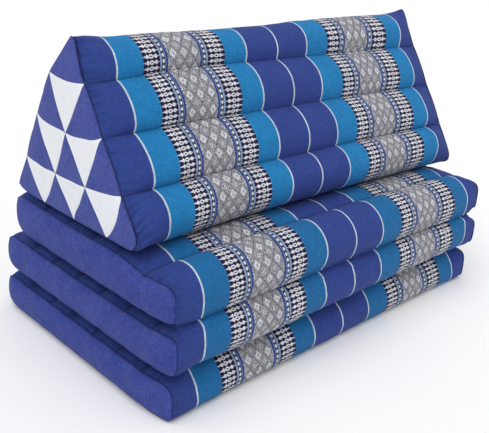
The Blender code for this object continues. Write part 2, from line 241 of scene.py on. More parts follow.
def triangle_lobes():
    """The tubes round the outline, from the middle of the base down to the
    front corner, up the front, over the ridge and down the back. Each has its
    two seams and two handles, full and at the end seam, in (y, z)."""
    half = TRI_BASE / 2
    slope = Vector((-half, -TRI_HEIGHT)).normalized()
    out = Vector((slope.y, -slope.x))
    mirror = Vector((-1.0, 1.0))

    def on_front(row):
        share = row / TRI_ROWS
        return Vector((-half * share, TRI_CORNER_LIFT + TRI_HEIGHT * (1 - share)))

    def face_tube(row):
        upper, lower = on_front(row), on_front(row + 1)
        pitch = (lower - upper).length
        full = (lower - slope * 0.02 * pitch + out * 0.026, upper + slope * 0.22 * pitch + out * 0.020)
        seam = (lower - slope * 0.20 * pitch + out * 0.004, upper + slope * 0.30 * pitch + out * 0.004)
        return (lower, upper, full, seam)

    base_seam = Vector((-half / 2, TRI_BASE_CHANNEL))
    base_middle = Vector((0.0, TRI_BASE_CHANNEL))
    flat = 0.012
    base = (base_middle, base_seam, (base_middle - Vector((flat, flat)), base_seam + Vector((flat, -flat))),
            (base_middle - Vector((flat, 0.0)), base_seam + Vector((flat, 0.0))))
    corner_end = Vector((-0.185, 0.004))
    corner = (base_seam, on_front(3), (Vector((-0.178, -0.035)), Vector((-0.200, 0.083))),
              (corner_end, corner_end))
    ridge_full = Vector((-0.0715, 0.2995))
    ridge_end = (Vector((0.0040, 0.3110)), Vector((-0.0140, 0.3110)))
    ridge = (on_front(1), on_front(1) * mirror, (ridge_full, ridge_full * mirror), ridge_end)
    front = [base, corner, face_tube(2), face_tube(1)]
    back = [(end * mirror, start * mirror, (full[1] * mirror, full[0] * mirror),
             (seam[1] * mirror, seam[0] * mirror)) for start, end, full, seam in reversed(front)]
    return front + [ridge] + back


def even_shares(curve, step):
    """Shares of a curve at which its points lie evenly, about a step apart."""
    fine = 80
    lengths = [0.0]
    before = curve(0.0)
    for index in range(1, fine + 1):
        after = curve(index / fine)
        lengths.append(lengths[-1] + (after - before).length)
        before = after
    count = max(3, round(lengths[-1] / step))
    shares = []
    index = 0
    for place in range(count):
        wanted = lengths[-1] * place / count
        while lengths[index + 1] < wanted:
            index += 1
        part = (wanted - lengths[index]) / (lengths[index + 1] - lengths[index])
        shares.append((index + part) / fine)
    return shares


LOBES = triangle_lobes()
LOBE_SHARES = [even_shares(lambda share: bezier(start, full[0], full[1], end, share), THREAD_STEP)
               for start, end, full, seam in LOBES]


def triangle_point(lobe, share, x):
    start, end, full, seam = lobe
    full_share = fullness(x)
    resting = LEVELS[3]
    middle_z = level_z(resting, 0.0, 0.0)
    top = TRI_HEIGHT + TRI_CORNER_LIFT
    row_one = top - TRI_HEIGHT / TRI_ROWS
    swollen = bezier(start, full[0], full[1], end, share)
    drawn = bezier(start, seam[0], seam[1], end, share)
    y, z = drawn + (swollen - drawn) * full_share
    y += TRI_CENTRE_Y
    sag = TRI_END_SAG * (1.0 - full_share) * max(0.0, 1.0 - z / 0.02)
    z = max(z, GAP / 2) - sag
    ground = level_z(resting, x, y)
    height_share = min(max(z / top, 0.0), 1.0)
    crest = max(0.0, (z - row_one) / (top - row_one))
    z += middle_z + (ground - middle_z) * (1 - height_share) + ridge_rise(x) * crest
    lean = TRI_LEFT_LEAN * crest * (1.0 - full_share) if x < 0 else 0.0
    return settle(Vector((x + lean, y, z)))


def triangle_ring(x):
    return [triangle_point(lobe, share, x)
            for lobe, shares in zip(LOBES, LOBE_SHARES) for share in shares]


def triangle_seams():
    """Numbers of the ring points that lie on a sewn channel."""
    seams = []
    count = 0
    for shares in LOBE_SHARES:
        seams.append(count)
        count += len(shares)
    return seams


def corner_shares(point):
    """How near a point of the end is to the ridge and the two base corners."""
    ridge_share = (point.z - LEVELS[3].height - TRI_CORNER_LIFT) / TRI_HEIGHT
    ridge_share = min(max(ridge_share, 0.0), 1.0)
    front_share = (1.0 - ridge_share) / 2 - (point.y - TRI_CENTRE_Y) / TRI_BASE
    front_share = min(max(front_share, 0.0), 1.0 - ridge_share)
    return ridge_share, front_share, 1.0 - ridge_share - front_share


def end_lean(z, side):
    """How far the left end leans in at a height near the ridge."""
    if side > 0:
        return 0.0
    row_high = TRI_HEIGHT / TRI_ROWS
    row_one = level_z(LEVELS[3], 0.0, 0.0) + TRI_HEIGHT + TRI_CORNER_LIFT - row_high
    return TRI_LEFT_LEAN * max(0.0, z - row_one) / (row_high + ridge_rise(-SEAM_HALF))


def triangle_cap(ring, side):
    """Rows of points that close an end, and the last point in its middle."""
    centre = sum(ring, Vector()) / len(ring)
    centre.x = side * (SEAM_HALF + END_SWELL)
    rows = []
    for shrink in (0.06, 0.15, 0.30, 0.50, 0.75):
        row = []
        for edge in ring:
            point = edge.lerp(centre, shrink)
            swell = END_SWELL * math.sqrt(27 * math.prod(corner_shares(point)))
            point.x = side * (SEAM_HALF + swell) + end_lean(point.z, side)
            row.append(point)
        rows.append(row)
    return rows, centre


class Cover:
    """A closed cloth cover: rows of points from end seam to end seam, with its
    own map in metres (along X, and round the tubes from the first point)."""

    def __init__(self, name, rings, seams):
        self.name = name
        self.stations = list(rings)
        self.count = len(rings[self.stations[0]])
        self.seams = seams
        self.points = [point for ring in rings.values() for point in ring]
        self.faces = []
        self.maps = []
        middle = rings[self.stations[len(self.stations) // 2]]
        self.round = [0.0]
        for one, two in zip(middle, middle[1:] + middle[:1]):
            self.round.append(self.round[-1] + (two - one).length)
        for row, (x, after_x) in enumerate(zip(self.stations, self.stations[1:])):
            for column in range(self.count):
                after = (column + 1) % self.count
                start, next_start = row * self.count, (row + 1) * self.count
                self.faces.append((start + column, start + after, next_start + after, next_start + column))
                low, high = self.round[column], self.round[column + 1]
                self.maps.append(((x, low), (x, high), (after_x, high), (after_x, low)))

    def first(self, row):
        return range(row * self.count, (row + 1) * self.count)

    def add_cap(self, edge, rows, tip):
        """Closes an end with shrinking rows and a middle point."""
        before = list(edge)
        x = self.points[before[0]].x
        for row in rows:
            after = list(range(len(self.points), len(self.points) + len(row)))
            self.points.extend(row)
            for column in range(len(row)):
                following = (column + 1) % len(row)
                self.faces.append((before[column], before[following], after[following], after[column]))
                low, high = self.round[column], self.round[column + 1]
                self.maps.append(((x, low), (x, high), (x, high), (x, low)))
            before = after
        self.points.append(tip)
        for column in range(len(before)):
            following = (column + 1) % len(before)
            self.faces.append((before[column], before[following], len(self.points) - 1))
            low, high = self.round[column], self.round[column + 1]
            self.maps.append(((x, low), (x, high), (x, (low + high) / 2)))

    def make(self):
        mesh = bpy.data.meshes.new(self.name)
        mesh.from_pydata(self.points, [], self.faces)
        layer = mesh.uv_layers.new(name="cloth")
        corner = 0
        for face_map in self.maps:
            for place in face_map:
                layer.data[corner].uv = place
                corner += 1
        solid = bmesh.new()
        solid.from_mesh(mesh)
        bmesh.ops.recalc_face_normals(solid, faces=solid.faces[:])
        crease = solid.edges.layers.float.new("crease_edge")
        lines = set()
        rows = len(self.stations)
        for seam in self.seams:
            for row in range(rows - 1):
                lines.add(frozenset((row * self.count + seam, (row + 1) * self.count + seam)))
        for row in (0, rows - 1):
            for column in range(self.count):
                after = (column + 1) % self.count
                lines.add(frozenset((row * self.count + column, row * self.count + after)))
        for edge in solid.edges:
            if frozenset((edge.verts[0].index, edge.verts[1].index)) in lines:
                edge[crease] = SEAM_CREASE
        solid.to_mesh(mesh)
        solid.free()
        # Seam points: the materials darken the cloth here as painted shade in the creases.
        sewn = mesh.attributes.new("sewn", "FLOAT", "POINT")
        for line in lines:
            for number in line:
                sewn.data[number].value = 1.0
        mesh.shade_smooth()
        piece = bpy.data.objects.new(self.name, mesh)
        bpy.context.scene.collection.objects.link(piece)
        return piece


SEAM_CREASE = 0.85


def apply_modifiers(piece):
    graph = bpy.context.evaluated_depsgraph_get()
    mesh = bpy.data.meshes.new_from_object(piece.evaluated_get(graph), preserve_all_data_layers=True,
                                           depsgraph=graph)
    piece.modifiers.clear()
    piece.data = mesh
    mesh.name = piece.name


# The filling pushes the cloth out between the sewn channels. Near the ends the
# cloth keeps the length of a full tube, so it gathers there as it is filled.
STUFFING_PRESSURE = 4.0
STUFFING_FRAMES = 20
STUFFING_LIMIT = 0.007       # no point moves further than this
END_SINK = 0.001             # the gathered cloth on top of an end sinks by this at most
SLACK = 1.02                 # spare length of the cloth towards an end


def cut_shape(cover):
    """Where the cover's points would lie if its ends weren't gathered."""
    inner = SEAM_HALF - DRAW_IN
    cut = [point.copy() for point in cover.points]
    rows = len(cover.stations)
    first_full = min(row for row, x in enumerate(cover.stations) if abs(x) < inner + 1e-6)
    last_full = rows - 1 - first_full
    for full, order in ((first_full, range(first_full - 1, -1, -1)), (last_full, range(last_full + 1, rows))):
        run = 0.0
        for row in order:
            near = row + 1 if full == first_full else row - 1
            gaps = [(cover.points[one] - cover.points[two]).length
                    for one, two in zip(cover.first(row), cover.first(near))]
            run += SLACK * sum(gaps) / len(gaps)
            side = -1.0 if full == first_full else 1.0
            for column, number in enumerate(cover.first(row)):
                cut[number] = cut[full * cover.count + column] + Vector((side * run, 0.0, 0.0))
    return cut


def stuff(cover, piece):
    """Fills the cover with Blender's cloth simulation, its seams held still."""
    mesh = piece.data
    before = [vertex.co.copy() for vertex in mesh.vertices]
    piece.shape_key_add(name="sewn")
    cut_key = piece.shape_key_add(name="cut")
    for point, place in zip(cut_key.data, cut_shape(cover)):
        point.co = place
    cut_key.value = 0.0
    rows = len(cover.stations)
    held = set(cover.first(0)) | set(cover.first(rows - 1)) | set(range(rows * cover.count, len(before)))
    for seam in cover.seams:
        held.update(row * cover.count + seam for row in range(rows))
    pins = piece.vertex_groups.new(name="sewn")
    pins.add(sorted(held), 1.0, "REPLACE")
    cloth = piece.modifiers.new("cloth", "CLOTH")
    settings = cloth.settings
    settings.quality = 6
    settings.mass = 0.3
    settings.tension_stiffness = 15.0
    settings.compression_stiffness = 8.0
    settings.shear_stiffness = 3.0
    settings.bending_stiffness = 0.15
    settings.air_damping = 3.0
    settings.use_pressure = True
    settings.uniform_pressure_force = STUFFING_PRESSURE
    settings.effector_weights.gravity = 0.0
    settings.vertex_group_mass = pins.name
    settings.rest_shape_key = cut_key
    cloth.collision_settings.use_collision = False
    cloth.collision_settings.use_self_collision = False
    cloth.point_cache.frame_start = 1
    cloth.point_cache.frame_end = STUFFING_FRAMES
    scene = bpy.context.scene
    for frame_number in range(1, STUFFING_FRAMES + 1):
        scene.frame_set(frame_number)
    graph = bpy.context.evaluated_depsgraph_get()
    after = [vertex.co.copy() for vertex in piece.evaluated_get(graph).data.vertices]
    piece.modifiers.clear()
    piece.shape_key_clear()
    piece.vertex_groups.clear()
    for vertex, old, new in zip(mesh.vertices, before, after):
        move = new - old
        if move.length > STUFFING_LIMIT:
            move *= STUFFING_LIMIT / move.length
        if vertex.normal.z > 0:
            inside = min(max(SEAM_HALF - abs(old.x), 0.0) / DRAW_IN, 1.0)
            move.z = max(move.z, -END_SINK - (STUFFING_LIMIT - END_SINK) * inside ** 2)
        vertex.co = old + move
    scene.frame_set(1)


def smooth_cloth(piece):
    smooth = piece.modifiers.new("smooth", "SUBSURF")
    smooth.levels = 1
    smooth.render_levels = 1
    apply_modifiers(piece)


def ends_and_puckers(piece, depth, reach, pitch, seed):
    """Short uneven folds that run in from the end seams, where the cloth of the
    full tubes is gathered, and the lumps of the filling further in."""
    layer = piece.data.uv_layers["cloth"]
    places = {}
    for loop, uv in zip(piece.data.loops, layer.data):
        places.setdefault(loop.vertex_index, uv.uv.copy())
    moves = []
    for vertex in piece.data.vertices:
        x, along = places[vertex.index]
        inside = max(0.0, SEAM_HALF - abs(x))
        fold = noise.noise(Vector((along / pitch, math.copysign(5.0, x) + inside * 12.0, seed)))
        strength = 0.55 + 0.9 * noise.noise(Vector((along * 9.0, math.copysign(7.0, x), seed)))
        near = math.exp(-(inside / reach) ** 1.3) * min(1.0, inside / 0.002)
        lump = noise.noise(Vector((x * 11.0, along * 17.0, seed + 3.0)))
        lump += 0.5 * noise.noise(Vector((x * 34.0, along * 40.0, seed + 9.0)))
        quiet = min(1.0, inside / 0.03)
        moves.append(vertex.normal * (depth * fold * max(0.0, strength) * near + LUMP * lump * quiet))
    for vertex, move in zip(piece.data.vertices, moves):
        vertex.co += move


def press(piece, under, over, covered_from):
    """Keeps the filled cloth between what it lies on and what lies on it, which
    covers it behind a given y. Near its ends the upper piece hangs down a little."""
    for vertex in piece.data.vertices:
        x, y, z = vertex.co
        hang = (1.0 - fullness(min(max(x, -SEAM_HALF), SEAM_HALF))) * TRI_END_SAG
        z = max(z, level_z(under, x, y) + GAP / 2 - (hang if under is LEVELS[3] else 0.0))
        if over is not None and y > covered_from:
            z = min(z, level_z(over, x, y) - GAP / 2 - (hang if over is LEVELS[3] else 0.0))
        vertex.co.z = z


LUMP = 0.0011
PUCKER_DEPTH = 0.0042
PUCKER_REACH = 0.030
PUCKER_PITCH = 0.0120

triangle_rings = {x: triangle_ring(x) for x in stations()}
triangle_cover = Cover("triangle_cover", triangle_rings, triangle_seams())
last_row = len(triangle_rings) - 1
triangle_cover.add_cap(triangle_cover.first(0), *triangle_cap(triangle_rings[-SEAM_HALF], -1))
triangle_cover.add_cap(triangle_cover.first(last_row), *triangle_cap(triangle_rings[SEAM_HALF], 1))
triangle = triangle_cover.make()
stuff(triangle_cover, triangle)
smooth_cloth(triangle)
ends_and_puckers(triangle, PUCKER_DEPTH, PUCKER_REACH, PUCKER_PITCH, 1.0)
press(triangle, LEVELS[3], None, 0.0)


class Loom:
    """Adds joined nodes to one material or node group."""

    def __init__(self, tree):
        self.tree = tree

    def node(self, kind, **settings):
        made = self.tree.nodes.new(kind)
        for setting, value in settings.items():
            setattr(made, setting, value)
        return made

    def feed(self, socket, value):
        if isinstance(value, bpy.types.NodeSocket):
            self.tree.links.new(value, socket)
        else:
            socket.default_value = value

    def math(self, operation, *values):
        made = self.node("ShaderNodeMath", operation=operation)
        for socket, value in zip(made.inputs, values):
            self.feed(socket, value)
        return made.outputs[0]

    def step(self, value, edge, soft=0.0005):
        """0 below the edge and 1 above it."""
        made = self.node("ShaderNodeMapRange")
        self.feed(made.inputs["Value"], value)
        made.inputs["From Min"].default_value = edge - soft / 2
        made.inputs["From Max"].default_value = edge + soft / 2
        return made.outputs[0]

    def mix(self, share, one, two):
        made = self.node("ShaderNodeMix", data_type="RGBA")
        self.feed(made.inputs["Factor"], share)
        self.feed(made.inputs[6], one)
        self.feed(made.inputs[7], two)
        return made.outputs[2]

    def profile(self, value, stops):
        """A height that follows straight lines between (place, height) stops."""
        made = self.node("ShaderNodeValToRGB")
        self.feed(made.inputs["Fac"], value)
        ramp = made.color_ramp
        while len(ramp.elements) < len(stops):
            ramp.elements.new(1.0)
        for element, (place, height) in zip(ramp.elements, stops):
            element.position = place
            element.color = (height, height, height, 1.0)
        return made.outputs[0]

    def noise(self, vector, scale, detail=2.0, rough=0.5):
        made = self.node("ShaderNodeTexNoise")
        self.feed(made.inputs["Vector"], vector)
        made.inputs["Scale"].default_value = scale
        made.inputs["Detail"].default_value = detail
        made.inputs["Roughness"].default_value = rough
        return made.outputs[0]

    def painted_crease_shade(self):
        """1 on open cloth and darker along a seam: painted shade in its crease."""
        sewn = self.node("ShaderNodeAttribute", attribute_name="sewn")
        crease = self.math("POWER", sewn.outputs["Fac"], CREASE_POWER)
        return self.math("SUBTRACT", 1.0, self.math("MULTIPLY", crease, CREASE_SHADE))

    def stretch(self, vector, x, y):
        made = self.node("ShaderNodeMapping")
        self.feed(made.inputs["Vector"], vector)
        made.inputs["Scale"].default_value = (x, y, 1.0)
        return made.outputs[0]


def new_group(name, inputs, outputs):
    """An empty shader group with (name, kind, value) inputs and (name, kind) outputs."""
    group = bpy.data.node_groups.new(name, "ShaderNodeTree")
    for label, kind, value in inputs:
        socket = group.interface.new_socket(label, in_out="INPUT", socket_type="NodeSocket" + kind)
        if value is not None:
            socket.default_value = value
    for label, kind in outputs:
        group.interface.new_socket(label, in_out="OUTPUT", socket_type="NodeSocket" + kind)
    loom = Loom(group)
    return group, loom, loom.node("NodeGroupInput"), loom.node("NodeGroupOutput")


def weave_group():
    """Plain weave: crossing threads, their slubs, and paler worn fibres."""
    group, loom, given, result = new_group(
        "plain_weave",
        [("Cloth Map", "Vector", None), ("Thread Pitch", "Float", 0.0012)],
        [("Height", "Float"), ("Slub", "Float"), ("Fade", "Float")],
    )
    parts = loom.node("ShaderNodeSeparateXYZ")
    loom.feed(parts.inputs[0], given.outputs["Cloth Map"])
    waves = []
    for axis in (0, 1):
        turns = loom.math("DIVIDE", parts.outputs[axis], given.outputs["Thread Pitch"])
        waves.append(loom.math("SINE", loom.math("MULTIPLY", turns, 2 * math.pi)))
    crossing = loom.math("MULTIPLY", waves[0], waves[1])
    warp = loom.noise(loom.stretch(given.outputs["Cloth Map"], 560.0, 70.0), 1.0, 4.0, 0.75)
    weft = loom.noise(loom.stretch(given.outputs["Cloth Map"], 70.0, 560.0), 1.0, 4.0, 0.75)
    slub = loom.math("MULTIPLY", loom.math("ADD", warp, weft), 0.5)
    height = loom.math("ADD", loom.math("MULTIPLY", crossing, 0.35), slub)
    fade = loom.noise(given.outputs["Cloth Map"], 22.0, 4.0, 0.6)
    loom.feed(result.inputs["Height"], height)
    loom.feed(result.inputs["Slub"], slub)
    loom.feed(result.inputs["Fade"], fade)
    return group


WEAVE = weave_group()
# Painted shade in the creases along the seams: how narrow it is and how dark it gets.
CREASE_POWER = 4.0
CREASE_SHADE = 0.55
GATHER_REACH = 0.036         # how far the small gathers run in from an end seam


def gathers_group():
    """Small folds that run in from the end seams, where the cloth is gathered, with painted shade in their
    hollows.
    """
    group, loom, given, result = new_group(
        "gathers", [("Cloth Map", "Vector", None)], [("Height", "Float"), ("Shade", "Float")])
    parts = loom.node("ShaderNodeSeparateXYZ")
    loom.feed(parts.inputs[0], given.outputs["Cloth Map"])
    inside = loom.math("SUBTRACT", SEAM_HALF, loom.math("ABSOLUTE", parts.outputs[0]))
    near = loom.math("SUBTRACT", 1.0, loom.math("DIVIDE", inside, GATHER_REACH))
    near = loom.math("POWER", loom.math("MAXIMUM", near, 0.0), 1.5)
    folds = loom.noise(loom.stretch(given.outputs["Cloth Map"], 16.0, 190.0), 1.0, 2.0, 0.5)
    patchy = loom.noise(loom.stretch(given.outputs["Cloth Map"], 5.0, 14.0), 1.0, 1.0, 0.5)
    near = loom.math("MULTIPLY", near, loom.step(patchy, 0.45, 0.20))
    loom.feed(result.inputs["Height"], loom.math("MULTIPLY", folds, near))
    # Painted shade in the hollows of the folds.
    painted_fold_shade = loom.math("MULTIPLY", loom.step(folds, 0.45, -0.20), 0.36)
    loom.feed(result.inputs["Shade"], loom.math("MULTIPLY", painted_fold_shade, near))
    return group


GATHERS = gathers_group()

NAVY = (0.0105, 0.0085, 0.045, 1.0)
YARN_WHITE = (0.66, 0.66, 0.70, 1.0)
PALE_BLUE = (0.22, 0.31, 0.47, 1.0)
FIELD_GREY = (0.33, 0.34, 0.37, 1.0)
FIELD_DARK = (0.032, 0.034, 0.062, 1.0)
FIELD_SHADE = (0.060, 0.063, 0.095, 1.0)
FIELD_LIGHT = (0.60, 0.60, 0.64, 1.0)
FIELD_BEIGE = (0.42, 0.41, 0.43, 1.0)
BEAD_PITCH = 0.0089          # between two rows of beads
DOT_LENGTH = 0.72            # of a dot, as part of the bead pitch
DOT_POWER = 1.5              # 1 is a lozenge, 2 an oval
DIAMOND_WIDE = 0.0215        # between two large diamonds along X
DIAMOND_TALL = 0.0270        # between two rows of large diamonds
PICK = 0.0009                # thickness of a brocade yarn
FLECK_SCALE = 330.0          # yarns of the field that lie a little high or low

# Half width of a bead row from the turquoise side (0) to the centre (1): a
# pointed tip, a small body, a ring and a last pointed bead.
BEAD_ROW = ((0.00, 0.14), (0.10, 0.20), (0.19, 0.34), (0.25, 0.72), (0.29, 0.72), (0.33, 0.24),
            (0.36, 0.24), (0.43, 0.74), (0.55, 0.74), (0.63, 0.26), (0.67, 0.26), (0.76, 0.66),
            (0.80, 0.66), (0.90, 0.10))
BEAD_EYE = ((0.00, 0.0), (0.42, 0.0), (0.47, 0.26), (0.51, 0.26), (0.57, 0.0))


def brocade_group():
    """The woven motifs of a brocade band. Bead says how far across its row of
    beads a point is, Field how far from the middle of the diamonds."""
    group, loom, given, result = new_group(
        "brocade",
        [("Bead", "Float", 0.0), ("Dot", "Float", 0.0), ("Field", "Float", 0.0), ("Along", "Float", 0.0)],
        [("Bead Colour", "Color"), ("Dot Colour", "Color"), ("Field Colour", "Color")],
    )
    along = loom.math("SNAP", given.outputs["Along"], PICK)
    across = loom.math("SNAP", given.outputs["Field"], PICK)
    turn = loom.math("FRACT", loom.math("DIVIDE", along, BEAD_PITCH))
    off_row = loom.math("MULTIPLY", loom.math("ABSOLUTE", loom.math("SUBTRACT", turn, 0.5)), 2.0)

    bead = given.outputs["Bead"]
    body = loom.step(loom.math("SUBTRACT", loom.profile(bead, BEAD_ROW), off_row), 0.0, 0.10)
    eye = loom.step(loom.math("SUBTRACT", loom.profile(bead, BEAD_EYE), off_row), 0.0, 0.10)
    bead_colour = loom.mix(eye, loom.mix(body, NAVY, YARN_WHITE), NAVY)
    loom.feed(result.inputs["Bead Colour"], bead_colour)

    oval = loom.math("ADD", loom.math("POWER", loom.math("ABSOLUTE", given.outputs["Dot"]), DOT_POWER),
                     loom.math("POWER", loom.math("DIVIDE", off_row, DOT_LENGTH), DOT_POWER))
    dot = loom.step(oval, 1.0, 0.25)
    loom.feed(result.inputs["Dot Colour"], loom.mix(dot, YARN_WHITE, NAVY))

    wide = loom.math("DIVIDE", across, DIAMOND_WIDE)
    tall = loom.math("DIVIDE", along, DIAMOND_TALL)
    rising = loom.math("ADD", wide, tall)
    falling = loom.math("SUBTRACT", wide, tall)
    cells = [loom.math("ROUND", rising), loom.math("ROUND", falling)]
    inside = loom.math("MAXIMUM", *[loom.math("ABSOLUTE", loom.math("SUBTRACT", line, cell))
                                    for line, cell in zip((rising, falling), cells)])
    odd = loom.math("FRACT", loom.math("MULTIPLY", loom.math("ABSOLUTE", loom.math("ADD", *cells)), 0.5))
    small = loom.step(odd, 0.25, 0.01)

    def nest(bands):
        """Colours from the middle of a diamond outwards, each with its edge."""
        colour = bands[0][1]
        for (edge, shade), (before, last) in zip(bands[1:], bands):
            colour = loom.mix(loom.step(inside, before, 0.03), colour, shade)
        return colour

    large_diamond = nest(((0.14, FIELD_GREY), (0.32, FIELD_LIGHT), (0.38, FIELD_DARK), (0.45, FIELD_BEIGE),
                          (0.50, FIELD_SHADE)))
    small_diamond = nest(((0.07, FIELD_DARK), (0.18, FIELD_LIGHT), (0.25, FIELD_DARK), (0.34, FIELD_BEIGE),
                          (0.39, FIELD_SHADE), (0.45, FIELD_BEIGE), (0.50, FIELD_SHADE)))
    field = loom.mix(small, large_diamond, small_diamond)
    place = loom.node("ShaderNodeCombineXYZ")
    loom.feed(place.inputs["X"], across)
    loom.feed(place.inputs["Y"], along)
    flecks = loom.noise(place.outputs[0], FLECK_SCALE, 1.0, 0.5)
    dark_flecks = loom.math("MULTIPLY", loom.step(flecks, 0.38, -0.12), 0.40)
    light_flecks = loom.math("MULTIPLY", loom.step(flecks, 0.62, 0.12), 0.45)
    field = loom.mix(light_flecks, loom.mix(dark_flecks, field, FIELD_DARK), YARN_WHITE)
    loom.feed(result.inputs["Field Colour"], field)
    return group


BROCADE = brocade_group()

ROYAL = (0.026, 0.052, 0.235, 1.0)
TURQUOISE = (0.012, 0.180, 0.425, 1.0)
LINE_BLUE = (0.024, 0.055, 0.225, 1.0)
LINE_WHITE = (0.50, 0.58, 0.66, 1.0)
DOT_MARGIN = 1.40            # a strip of dots is wider than its dots by this
PALE_EDGE = 0.0011           # pale yarns between the dots and the blue line
SAW_DEPTH = 0.0005           # the blue line's inner edge steps in and out by this
SAW_PITCH = 0.0036
WHITE_LINE = 0.0030          # width of a white line between two colours
MIDDLE_LINE = -0.0134        # the line in the middle of the royal stretch

# Where the colours change on the two brocade groups, outwards from the middle
# of the diamonds: the cloth is pulled a little wider towards the right.
Group = namedtuple("Group", "centre left right")
Side = namedtuple("Side", "diamonds line dots pale beads turquoise")
GROUPS = (
    Group(-0.2215, Side(0.0325, 0.0368, 0.0440, 0.0474, 0.0785, 0.1265),
          Side(0.0325, 0.0370, 0.0444, 0.0480, 0.0845, 0.1335)),
    Group(0.2025, Side(0.0335, 0.0378, 0.0452, 0.0488, 0.0845, 0.1415),
          Side(0.0335, 0.0380, 0.0456, 0.0494, 0.0965, 0.1455)),
)
COTTON_ROUGHNESS = 0.82
COTTON_SHEEN = 0.04
COTTON_SHINE = 0.15


def banded_cloth(name, turquoise):
    """The woven cover: bands of colour along X, brocade in two of them."""
    material = bpy.data.materials.new(name)
    material.use_nodes = True
    loom = Loom(material.node_tree)
    shader = material.node_tree.nodes["Principled BSDF"]
    cloth_map = loom.node("ShaderNodeUVMap", uv_map="cloth").outputs[0]
    parts = loom.node("ShaderNodeSeparateXYZ")
    loom.feed(parts.inputs[0], cloth_map)
    x, along = parts.outputs[0], parts.outputs[1]
    weave = loom.node("ShaderNodeGroup", node_tree=WEAVE)
    loom.feed(weave.inputs["Cloth Map"], cloth_map)

    turns = loom.math("MULTIPLY", along, 2 * math.pi / SAW_PITCH)
    saw = loom.math("MULTIPLY", loom.math("SINE", turns), SAW_DEPTH)
    colour = ROYAL
    for group in GROUPS:
        offset = loom.math("SUBTRACT", x, group.centre)
        for side, sign in ((group.left, -1.0), (group.right, 1.0)):
            out = loom.math("MULTIPLY", offset, sign)
            bead = loom.node("ShaderNodeMapRange")
            loom.feed(bead.inputs["Value"], out)
            bead.inputs["From Min"].default_value = side.beads
            bead.inputs["From Max"].default_value = side.pale
            dot = loom.node("ShaderNodeMapRange", clamp=False)
            loom.feed(dot.inputs["Value"], out)
            dot.inputs["From Min"].default_value = side.line + PALE_EDGE
            dot.inputs["From Max"].default_value = side.dots
            dot.inputs["To Min"].default_value = -DOT_MARGIN
            dot.inputs["To Max"].default_value = DOT_MARGIN
            brocade = loom.node("ShaderNodeGroup", node_tree=BROCADE)
            loom.feed(brocade.inputs["Dot"], dot.outputs[0])
            loom.feed(brocade.inputs["Bead"], bead.outputs[0])
            loom.feed(brocade.inputs["Field"], offset)
            loom.feed(brocade.inputs["Along"], along)
            bands = (
                (out, side.turquoise + WHITE_LINE / 2, LINE_WHITE),
                (out, side.turquoise - WHITE_LINE / 2, turquoise),
                (out, side.beads, brocade.outputs["Bead Colour"]),
                (out, side.pale, PALE_BLUE),
                (out, side.dots, brocade.outputs["Dot Colour"]),
                (out, side.line + PALE_EDGE, PALE_BLUE),
                (out, side.line, LINE_BLUE),
                (loom.math("ADD", out, saw), side.diamonds, brocade.outputs["Field Colour"]),
            )
            inner = loom.step(out, 0.0)
            for place, edge, shade in bands:
                within = loom.math("MULTIPLY", loom.math("SUBTRACT", 1.0, loom.step(place, edge)), inner)
                colour = loom.mix(within, colour, shade)
    from_line = loom.math("ABSOLUTE", loom.math("SUBTRACT", x, MIDDLE_LINE))
    on_line = loom.math("SUBTRACT", 1.0, loom.step(from_line, WHITE_LINE / 2))
    colour = loom.mix(on_line, colour, LINE_WHITE)

    gathers = loom.node("ShaderNodeGroup", node_tree=GATHERS)
    loom.feed(gathers.inputs["Cloth Map"], cloth_map)
    # Value of the base colour: random slubs and fading, less painted shade in the hollows of the gathers and in
    # the seam creases.
    worn_and_shaded = loom.node("ShaderNodeHueSaturation")
    loom.feed(worn_and_shaded.inputs["Color"], colour)
    tone = loom.math("ADD", loom.math("MULTIPLY", weave.outputs["Slub"], 2.2),
                     loom.math("MULTIPLY", weave.outputs["Fade"], 0.35))
    tone = loom.math("SUBTRACT", loom.math("ADD", tone, -0.27), gathers.outputs["Shade"])
    loom.feed(worn_and_shaded.inputs["Value"], loom.math("MULTIPLY", tone, loom.painted_crease_shade()))
    loom.feed(shader.inputs["Base Color"], worn_and_shaded.outputs[0])
    folds = loom.node("ShaderNodeBump")
    folds.inputs["Strength"].default_value = 1.0
    folds.inputs["Distance"].default_value = 0.0060
    loom.feed(folds.inputs["Height"], gathers.outputs["Height"])
    bump = loom.node("ShaderNodeBump")
    bump.inputs["Strength"].default_value = 0.45
    bump.inputs["Distance"].default_value = 0.0006
    loom.feed(bump.inputs["Height"], weave.outputs["Height"])
    loom.feed(bump.inputs["Normal"], folds.outputs[0])
    loom.feed(shader.inputs["Normal"], bump.outputs[0])
    shader.inputs["Roughness"].default_value = COTTON_ROUGHNESS
    shader.inputs["Specular IOR Level"].default_value = COTTON_SHINE
    shader.inputs["Sheen Weight"].default_value = COTTON_SHEEN
    shader.inputs["Sheen Roughness"].default_value = 0.5
    return material


woven_cover = banded_cloth("woven_cover", TURQUOISE)


def dress(piece, material, slot, *nodes):
    """Gives a finished piece its cloth and its place in the model."""
    piece.data.materials.clear()
    piece.data.materials.append(material)
    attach(piece, "root")
    if nodes:
        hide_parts(*nodes)


dress(triangle, woven_cover, "woven_cover", "triangle_cushion")

# Each end of the triangle is closed by a patchwork of cotton triangles in four
# rows, ten blue and six white, sewn edge to edge and then into the end seam.
PANEL_THICK = 0.0020
PATCH_STEPS = 32             # steps along one side of a patch
HEM_RISE = 0.0009            # a white patch stands up along its turned edge
HEM_IN = 0.0030              # middle of that edge, inside the seam
HEM_WIDE = 0.0022
PANEL_OFF = 0.0006
EDGE_HOLD = 10               # how soon a curved side stops bending the patches inside
PATCH_GROOVE = 0.0009
PATCH_GROOVE_WIDE = 0.0022
PATCH_UNEVEN = 0.0022        # hand-sewn seams stray by about this
PATCH_BLUE = (0.042, 0.066, 0.290, 1.0)
PATCH_WHITE = (0.80, 0.82, 0.86, 1.0)


def lobe_at(places, row, x):
    index = min(int(row), 3)
    share = row - index
    number, start, end = places[index]
    return triangle_point(LOBES[number], start + (end - start) * share, x)


